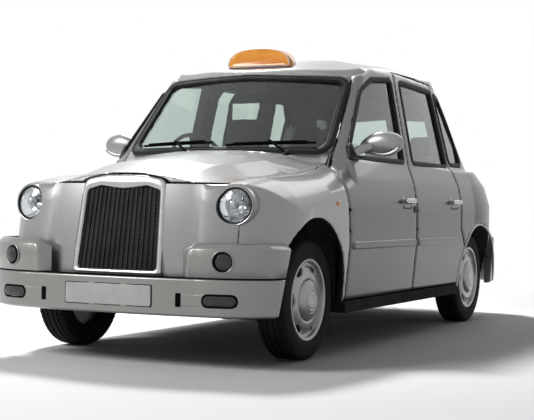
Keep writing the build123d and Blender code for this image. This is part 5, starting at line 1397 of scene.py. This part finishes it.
@dataclass
class SideTrim:
    """What hangs on one flank: mouldings, pulls, lock, repeater lamp and rear arch lip."""

    cab: Cab
    side: Side
    moulding_z: float = 0.617
    mouldings: tuple = (("front", 0.398, 1.490), ("rear", 1.504, 2.360))
    pulls: tuple = (("front", 1.315), ("rear", 2.270))
    pull_at: Ends = (0.8905, 0.8805)
    pull_reach: float = 0.098
    cup_z: Ends = (0.828, 0.876)
    arch: tuple = ((2.886, 0.272), 0.452, (2.0, 178.0))

    def strip(self, name: str, path: Array, section: Array, scale: Array) -> Piece:
        """A section, columns up and out, scaled at each station and carried straight along the flank."""
        ring = section[None] * scale[:, None]
        points = path[:, None] + ring[..., 1:] * OUT + ring[..., :1] * UP
        return lofted(f"{name}_{self.side.label}", mirrored(points, self.side), turn=-1)

    def patch(self, name: str, outline: Array, heights: Sequence[float], shrink: Sequence[float]) -> Piece:
        """A small raised patch on the flank."""
        return pad(f"{name}_{self.side.label}", outline, side_point, OUT, heights, shrink, self.side)

    def mould(self) -> None:
        """A bumper strip along each door: a flattened dome whose ends shrink, carried along the door's skin."""
        t = np.linspace(0.0, math.pi, 18)
        dome = np.stack([-np.cos(t) * 0.023, np.sin(t) ** (2 / 3.0) * 0.010], axis=1)
        dome[[0, -1], 1] = 0.0
        section = np.concatenate([[(-0.023, -0.004)], dome, [(0.023, -0.004)]])
        for end, start, stop in self.mouldings:
            t = np.linspace(0.0, 1.0, 60)
            path = side_point(start + (stop - start) * t, np.full(60, self.moulding_z))
            taper = np.minimum(1.0, np.sqrt(np.minimum(t, 1 - t) * (stop - start) / 0.03))
            swell = np.stack([np.maximum(taper, 0.25), np.maximum(taper, 0.05)], axis=1)
            piece = self.strip(f"moulding_{end}", path, section, swell)
            self.cab.add(piece, "side_paint_shaded", "silver_paint", body=f"{end}_door_{self.side.label}")

    def pull(self) -> None:
        """A bright pull bar over a dished dark cup on each door, and the lock below the front one."""
        cab, (x, z), t = self.cab, self.pull_at, np.linspace(0.0, 1.0, 25)
        swell = np.maximum(np.sqrt(np.clip(np.minimum(t, 1 - t) / 0.10, 0.0, 1.0)), 0.12)
        for end, y in self.pulls:
            body = f"{end}_door_{self.side.label}"
            path = np.stack([np.full(25, x), aft(y + self.pull_reach * (2 * t - 1)), np.full(25, z)], axis=-1)
            pull = self.strip(f"pull_bar_{end}", path, oblong(0.030, 0.017, 3.0, 24), swell[:, None])
            cab.add(pull, "bright", "bright_trim", body=body)
            cup = box((y - 0.085, y + 0.085), self.cup_z, 0.022, 0.006)
            cup = self.patch(f"pull_cup_{end}", cup, (-0.006, 0.0012, 0.0022, 0.0004), (1.0, 1.0, 0.86, 0.6))
            cab.add(cup, "black", "black_trim", body=body)
        outline, heights = box((1.432, 1.462), (0.806, 0.850), 0.0148, 0.003), (-0.006, 0.003, 0.005, 0.005)
        lock = self.patch("lock", outline, heights, (1.0, 1.0, 0.8, 0.4))
        cab.add(lock, "black", "black_trim", body=f"front_door_{self.side.label}")

    def build(self) -> None:
        """Everything on this flank."""
        self.mould()
        self.pull()
        oval = bead((0.196, 0.024), (0.855, 0.014), 32)
        self.cab.add(self.patch("repeater", oval, (-0.006, 0.003, 0.006, 0.007), (1.0, 1.0, 0.7, 0.3)), "amber", "amber_lens")
        (y, z), radius, span = self.arch
        a = np.radians(np.linspace(*span, 60))
        path = side_point(y + radius * np.cos(a), z + radius * np.sin(a)) - 0.002 * OUT
        path, up = mirrored(path, self.side), self.side.value * OUT
        lip = carry(f"arch_rear_{self.side.label}", path, up, oblong(0.020, 0.014, 2.2, 16))
        self.cab.add(lip, "paint", "silver_paint")
        self.cab.report(f"{self.side.label} flank")


@dataclass
class DoorMirror:
    """A door mirror: egg-shaped shell with a lower lip, its glass, and an arm on a black foot."""

    cab: Cab
    side: Side
    centre: Point = (0.905, -0.732, 1.216)
    half: Point = (0.128, 0.052, 0.072)
    arm: tuple = (
        (0.762, -0.860, 1.150), (0.775, -0.835, 1.165), (0.795, -0.800, 1.180),
        (0.825, -0.768, 1.192), (0.860, -0.745, 1.202),
    )
    foot: tuple = ((0.535, 1.112), (0.700, 1.112), (0.610, 1.150), (0.600, 1.225), (0.565, 1.190))

    def egg(self, *xyz: Array) -> Array:
        """Narrows the inboard end, about the shell's middle: t = -x/a, x - 0.022 t, z (1 - 0.34 t) - 0.022 t^2."""
        x, y, z = np.broadcast_arrays(*xyz)
        t = np.clip(-x / self.half[0], 0.0, 1.0)
        points = np.stack([x - 0.022 * t, y, z * (1.0 - 0.34 * t) - 0.022 * t ** 2], axis=-1)
        return mirrored(points + self.centre, self.side)

    def add(self, piece: Piece, finish: str, slot: str, *nodes: str) -> None:
        """Puts a piece on the front door."""
        self.cab.add(piece, finish, slot, *nodes, body=f"front_door_{self.side.label}")

    def build(self) -> None:
        """Shell, bulged forward and flattened behind: x = a cos u cos v, z = c sin v, y = -b cos v sin u; then the rest."""
        label, (a, b, c) = self.side.label, self.half
        squared = lambda wave: np.sign(wave) * np.abs(wave) ** 0.85
        u, v = round_turn(64)[:, None], np.linspace(-math.pi / 2, math.pi / 2, 34)[None, :]
        x, y = a * squared(np.cos(u)) * np.cos(v) ** 0.72, -b * np.sin(u) * np.cos(v) ** 0.72
        shell = self.egg(x, np.where(y > 0.0, y * 0.42, y * 1.15), c * np.sin(v) * (1.0 - 0.10 * (x / a)))
        shell = put(f"mirror_shell_{label}", shell, grid_faces(64, 34, True, False))
        self.add(shell, "paint", "silver_paint", f"mirror_{label}")
        t = round_turn(48)
        rim = self.egg(a * 0.90 * squared(np.cos(t)), b * 0.40, c * 0.86 * np.sin(t))
        self.add(lofted(f"mirror_glass_{label}", np.stack([rim, rim - 0.003 * AHEAD])), "mirror", "bright_trim")
        t = np.radians(np.linspace(205.0, 335.0, 30))
        lip = self.egg(0.006 + a * 0.86 * np.cos(t), -b * 0.55, c * 0.95 * np.sin(t))
        self.add(carry(f"mirror_lip_{label}", lip, AHEAD, oblong(0.026, 0.020, 2.2, 16)), "paint", "silver_paint")
        arm = carry(f"mirror_arm_{label}", mirrored(np.array(self.arm), self.side), UP, oblong(0.066, 0.050, 2.4, 20))
        self.add(arm, "paint", "silver_paint")
        foot = rounded(self.foot, 0.012, 0.006)
        heights, shrink = (-0.006, 0.010, 0.016, 0.018), (1.0, 1.0, 0.9, 0.6)
        foot = pad(f"mirror_foot_{label}", foot, side_point, OUT, heights, shrink, self.side)
        self.add(foot, "black", "black_trim")


@dataclass
class RoofSign:
    """The roof sign: a blank amber lens arched along its top, with a pale rim, on a dark plinth."""

    cab: Cab
    y: float = -0.5425
    half: Ends = (0.220, 0.050)
    z: Point = (1.692, 1.713, 1.827)

    def arch(self, scale: float, dy: float) -> Array:
        """The lens's outline at a depth: x = a cos^0.75, z = foot + h sin^0.8 over the top, and a flat foot."""
        t, (_, foot, top) = np.linspace(0.0, math.pi, 60), self.z
        c, s, middle = np.cos(t), np.maximum(np.sin(t), 0.0), (foot + top) / 2
        x, z = self.half[0] * np.sign(c) * np.abs(c) ** 0.75, foot + (top - foot) * s ** 0.8
        return np.stack([x * scale, np.full(60, self.y + dy), middle + (z - middle) * scale], axis=1)

    def build(self) -> None:
        """Lens, rims and plinth."""
        cab, (low, foot, _) = self.cab, self.z
        front = ((-0.049, 0.80), (-0.051, 0.90), (-0.047, 0.96), (-0.034, 1.0))
        rings = np.stack([self.arch(scale, dy) for dy, scale in (*front, *((-dy, scale) for dy, scale in front[::-1]))])
        cab.add(lofted("sign_dome", rings), "amber", "amber_lens", "sign_lens")
        for name, dy in (("front", -0.046), ("rear", 0.046)):
            up = -math.copysign(1.0, dy) * AHEAD
            rim = carry(f"sign_rim_{name}", self.arch(0.965, dy), up, oblong(0.009, 0.010, 2.0, 12), True)
            cab.add(rim, "white_lens", "bright_trim")
        outline = oblong(self.half[0] * 2.02, self.half[1] * 2.0, 2.4, 80)
        levels = ((low - 0.006, 0.99), (foot - 0.012, 1.0), (foot - 0.002, 0.995), (foot + 0.002, 0.97))
        rings = np.stack([np.column_stack([outline * scale + (0.0, self.y), np.full(80, z)]) for z, scale in levels])
        cab.add(lofted("sign_plinth", rings), "plinth", "black_trim", "sign_base")


@dataclass
class Wipers:
    """Two parked wipers, each given by its blade's ends and its pivot, as x and height on the glass."""

    cab: Cab
    runs: tuple = (
        ((-0.560, 1.186), (-0.040, 1.202), (-0.170, 1.128)),
        ((0.060, 1.186), (0.590, 1.202), (0.450, 1.128)),
    )
    stand_off: float = 0.010
    cap: tuple = ((0.034, 0.0), (0.033, 0.010), (0.028, 0.016), (0.006, 0.019), (-0.006, 0.020), (-0.006, 0.0))

    def on_glass(self, start: Array, end: Array, lift: float, count: int = 24) -> Array:
        """Points between front-view ends, each lifted off the glass along its normal."""
        run = np.linspace(start, end, count).T
        return screen_point(*run) + normals(screen_point, *run, AHEAD) * lift

    def build(self) -> None:
        """A blade, its spine, the arm and the pivot cap for each."""
        cab, off, inset = self.cab, self.stand_off, np.array((0.05, 0.003))
        for number, ends in enumerate(self.runs):
            start, end, pivot = np.array(ends)
            for name, run, lift, size, nodes in (
                ("blade", (start, end), off, (0.007, 0.016), ("wipers",) if number == 0 else ()),
                ("spine", (start + inset, end + inset * (-1, 1)), off + 0.011, (0.012, 0.006), ()),
                ("arm", (pivot, (start + end) / 2 + (0.0, 0.008)), off + 0.020, (0.016, 0.008), ()),
            ):
                path = self.on_glass(*run, lift)
                piece = carry(f"wiper_{name}_{number}", path, np.array((0.0, -0.75, 0.66)), oblong(*size, 3.0, 12))
                cab.add(piece, "gap", "black_trim", *nodes)
            place = self.on_glass(pivot, pivot, 0.0, 2)[0]
            cab.add(turned(f"wiper_cap_{number}", place, (0.0, -0.62, 0.78), self.cap, 32), "black", "black_trim")
        cab.report("wipers")


@dataclass
class Cabin:
    """What shows through the glass: fascia, wheel, seats, partition and meter.

    A seat is its name, middle, full size, angle back, extra bulge, number of seams and the nodes it stands for.
    """

    cab: Cab
    driver_x: float = -0.440
    wheel_centre: Point = (-0.450, -0.540, 1.140)
    column: Point = (0.0, 0.80, 0.60)
    wheel_radius: float = 0.178
    rails: tuple = ((1.135, 0.620), (1.565, 0.600))
    seat_table: tuple = (
        ("driver_cushion", (-0.440, 1.290, 0.600), (0.420, 0.440, 0.150), 0.0, 0.0, 0, "driver_seat"),
        ("driver_back", (-0.440, 1.550, 0.960), (0.430, 0.120, 0.560), 9.0, 0.016, 2),
        ("driver_headrest", (-0.440, 1.605, 1.335), (0.255, 0.085, 0.185), 9.0, 0.008, 0),
        ("bench_cushion", (0.0, 2.680, 0.680), (1.040, 0.460, 0.150), 0.0, 0.0, 2, "rear_bench"),
        ("bench_back", (0.0, 2.975, 0.985), (1.040, 0.120, 0.500), 10.0, 0.014, 2),
        ("bench_headrest_0", (-0.370, 3.020, 1.300), (0.215, 0.070, 0.150), 10.0, 0.006, 0),
        ("bench_headrest_1", (0.0, 3.020, 1.300), (0.215, 0.070, 0.150), 10.0, 0.006, 0),
        ("bench_headrest_2", (0.370, 3.020, 1.300), (0.215, 0.070, 0.150), 10.0, 0.006, 0),
    )
    bases: tuple = (
        ("driver_base", (-0.440, 1.320, 0.410), (0.380, 0.420, 0.220), 0.020),
        ("bench_base", (0.0, 2.700, 0.600), (1.000, 0.420, 0.060), 0.020),
    )
    fittings: tuple = (
        ("cabin_mirror", (0.0, 0.860, 1.575), (0.250, 0.030, 0.070), 0.012),
        ("fare_meter", (-0.020, 0.640, 1.150), (0.180, 0.110, 0.060), 0.012),
    )

    def cushion(self, name: str, centre: Point, size: Point, tilt: float, crown: float, ribs: int) -> Piece:
        """A padded cushion: |x/a|^p + |y/b|^p + |z/c|^p = 1, crowned, with seam grooves across it, tilted about x.

        Args:
            name: the piece's name.
            centre: its middle, y as a distance aft.
            size: full width, depth and height.
            tilt: angle back in degrees.
            crown: extra bulge of its face.
            ribs: number of seams across its width.

        Returns:
            The cushion.
        """
        u, v = (round_turn(96) - math.pi)[:, None], np.linspace(-math.pi / 2, math.pi / 2, 44)[None, :]
        cu, su, cv, sv = (np.sign(a) * np.abs(a) ** 0.32 for a in (np.cos(u), np.sin(u), np.cos(v), np.sin(v)))
        x, y, z = np.broadcast_arrays(cv * cu * size[0] / 2, cv * su * size[1] / 2, sv * size[2] / 2)
        round_x, round_z = np.cos(math.pi * x / size[0]), np.cos(math.pi * z / size[2])
        y = y + np.sign(y) * crown * np.clip(round_x, 0, 1) * np.clip(round_z, 0, 1)
        if ribs:
            seams = np.linspace(-0.5, 0.5, ribs + 2)[1:-1] * size[0]
            near = np.min(np.abs(x[..., None] - seams), axis=-1)
            y = y * (1.0 - 0.10 * np.exp(-(near / 0.006) ** 2))
        c, s = math.cos(math.radians(tilt)), math.sin(math.radians(tilt))
        points = np.stack([x, y * c + z * s, z * c - y * s], axis=-1) + (centre[0], aft(centre[1]), centre[2])
        return put(name, points, grid_faces(96, 44, True, False), 60.0)

    def shell(self, name: str, centre: Point, size: Point, edge: float) -> Piece:
        """A moulded box with rounded upright edges: a rounded plan outline between two heights with eased rims."""
        half = size[2] / 2
        outline = box((-size[0] / 2, size[0] / 2), (-size[1] / 2, size[1] / 2), edge)
        levels = ((-half, 0.985), (-half + 0.006, 1.0), (half - 0.010, 1.0), (half - 0.003, 0.992), (half, 0.975))
        rings = np.stack([np.column_stack([outline * scale, np.full(len(outline), z)]) for z, scale in levels])
        return lofted(name, rings + (centre[0], aft(centre[1]), centre[2]))

    def moulded(self, rows: tuple) -> None:
        """Adds plain moulded boxes, each given by its name, middle, full size and edge radius."""
        for name, *form in rows:
            self.cab.add(self.shell(name, *form), "cabin", "cabin_trim")

    def seats(self) -> None:
        """Driver's seat and rear bench with its three headrests, and what they stand on."""
        cab = self.cab
        for name, centre, size, tilt, crown, ribs, *nodes in self.seat_table:
            cushion = self.cushion(name, centre, size, tilt, crown, ribs)
            cab.add(cushion, "cloth", "seat_cloth", *nodes)
        self.moulded(self.bases)
        for number, dx in enumerate((-0.070, 0.070)):
            x = self.driver_x + dx
            post = np.linspace((x, aft(1.585), 1.16), (x, aft(1.600), 1.28), 6)
            cab.add(carry(f"headrest_post_{number}", post, AHEAD, oblong(0.012, 0.012, 2.0, 12)), "bright", "bright_trim")

    def steering(self) -> None:
        """Rim, three spokes, shaft and padded boss, square to the column."""
        cab, axis, hub, reach = self.cab, unit(np.asarray(self.column)), np.asarray(self.wheel_centre), self.wheel_radius
        boss = ((0.012, 0.0), (0.011, 0.030), (0.004, 0.048), (-0.018, 0.052), (-0.030, 0.040), (-0.030, 0.0))
        shaft = ((-0.025, 0.0), (-0.025, 0.012), (-0.112, 0.012), (-0.112, 0.0))
        for name, profile, finish, count, nodes in (
            ("rim", bead((0.0, 0.014), (reach, 0.0125), 24), "black", 72, ("steering_wheel",)),
            ("boss", boss, "cabin", 48, ()),
            ("shaft", shaft, "steel", 32, ()),
        ):
            cab.add(turned(f"steering_{name}", hub, axis, profile, count), finish, "cabin_trim", *nodes, body="helm")
        for number, angle in enumerate(np.radians((-90.0, 30.0, 150.0))):
            tip = OUT * math.cos(angle) + np.cross(axis, OUT) * math.sin(angle)
            run = np.linspace(0.03, reach - 0.004, 10)[:, None]
            path = hub + tip * run - axis * 0.012 * (1 - run / reach)
            spoke = carry(f"steering_spoke_{number}", path, axis, oblong(0.034, 0.012, 3.0, 16))
            cab.add(spoke, "cabin", "cabin_trim", body="helm")

    def build(self) -> None:
        """Everything in the cabin."""
        cab = self.cab
        self.seats()
        self.steering()
        self.moulded(self.fittings)
        for number, (z, half) in enumerate(self.rails):
            path = np.linspace((-half, aft(1.700), z), (half, aft(1.700), z), 12)
            rail = carry(f"partition_rail_{number}", path, AHEAD, oblong(0.032, 0.030, 2.2, 16))
            cab.add(rail, "cabin", "cabin_trim")
        cab.skin("dashboard", "cabin", "cabin_trim")
        cab.skin("partition", "cabin", "cabin_trim")
        cab.dress("carpet", "floor_pan", "rear_floor")
        cab.report("cabin")


@dataclass
class RearEnd:
    """Tail lamps in three bands, boot pull and blank plate."""

    cab: Cab
    bumper: Bumper
    lamp_x: Ends = (0.600, 0.757)
    lamp_z: Ends = (0.702, 0.958)
    bands: tuple = (
        ("stop", (0.817, 0.950), "red", "red_lens"),
        ("turn", (0.762, 0.814), "amber", "amber_lens"),
        ("back", (0.710, 0.759), "white_lens", "clear_glass"),
    )

    def tail_pad(self, name: str, outline: Array, heights: Sequence[float], shrink: Sequence[float], side: Side) -> Piece:
        """A raised patch on the tail, lifted along the tail's normal."""
        return pad(name, outline, tail_point, normals(tail_point, *outline.T, (0.5, 1, 0)), heights, shrink, side)

    def build(self) -> None:
        """The whole rear."""
        cab, (x0, x1) = self.cab, self.lamp_x
        for side in Side:
            for name, heights, finish, slot in self.bands:
                band = box((x0 + 0.008, x1 - 0.006), heights, 0.008, 0.006)
                lifts, shrink = (0.001, 0.008, 0.0095, 0.0095), (1.0, 1.0, 0.94, 0.6)
                band = self.tail_pad(f"tail_{name}_{side.label}", band, lifts, shrink, side)
                cab.add(band, finish, slot)
            edge = box(self.lamp_x, self.lamp_z, 0.012, 0.006)
            lifts, shrink = (-0.004, 0.006, 0.0065, 0.0065), (1.0, 1.0, 0.97, 0.7)
            edge = self.tail_pad(f"tail_edge_{side.label}", edge, lifts, shrink, side)
            cab.add(edge, "black", "black_trim", "tail_lamps")
        pull = box((-0.110, 0.110), (0.792, 0.828), 0.010, 0.008)
        pull = self.tail_pad("boot_pull", pull, (-0.003, 0.008, 0.010, 0.010), (1.0, 1.0, 0.92, 0.6), Side.LEFT)
        cab.add(pull, "bright", "bright_trim", body="boot_hatch")
        plate, face = box((-0.262, 0.262), (0.316, 0.426), 0.006, 0.01), self.bumper.flat_point(0.0010)
        for name, scale, heights, finish in (
            ("plate_back_edge", 1.0, (-0.012, 0.0, 0.001), "gap"),
            ("plate_back", 0.985, (-0.012, 0.0007, 0.0017), "plate"),
        ):
            piece = pad(name, plate, face, -AHEAD, heights, (scale, scale, 0.97 * scale))
            cab.add(piece, finish, "black_trim")
        cab.report("rear end")


@dataclass
class Underbody:
    """Finishes of everything under the floor and bonnet."""

    cab: Cab
    nodes: tuple = (
        ("chassis_frame", "chassis", "chassis_black"),
        ("engine_block", "iron", "engine_iron"),
        ("exhaust", "steel", "axle_steel"),
        ("rear_axle", "steel", "axle_steel"), ("knuckle_front_left", "steel", "axle_steel"),
        ("knuckle_front_right", "steel", "axle_steel"),
    )

    def build(self) -> None:
        """Skins the running gear."""
        for node, finish, slot in self.nodes:
            self.cab.skin(node, finish, slot)
        self.cab.report("underbody")


def main() -> None:
    """Builds the cab's sub-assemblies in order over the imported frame."""
    logging.basicConfig(level=logging.INFO, format="%(name)s: %(message)s")
    cab = Cab(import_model())
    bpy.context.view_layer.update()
    Studio().build()
    Bodywork(cab).build()
    Glazing(cab).build()
    corner = ((0.26, 0.003), (0.50, 0.027), (0.745, 0.098), (0.848, 0.185))
    front = Bumper(cab, "front_bumper", -1.0, -2.287, (0.205, 0.372), corner, 0.875)
    corner = ((0.30, 0.012), (0.55, 0.062), (0.725, 0.185), (0.822, 0.400))
    rear = Bumper(cab, "rear_bumper", 1.0, 2.287, (0.550, 0.470), corner, 0.845)
    front.build()
    rear.build()
    FrontEnd(cab, front).build()
    for side in Side:
        SideTrim(cab, side).build()
        DoorMirror(cab, side).build()
        RoadWheel(cab, "front", side, FRONT_AXLE).build()
        RoadWheel(cab, "rear", side, REAR_AXLE).build()
    RoofSign(cab).build()
    Wipers(cab).build()
    Cabin(cab).build()
    RearEnd(cab, rear).build()
    Underbody(cab).build()


if __name__ == "__main__":
    main()
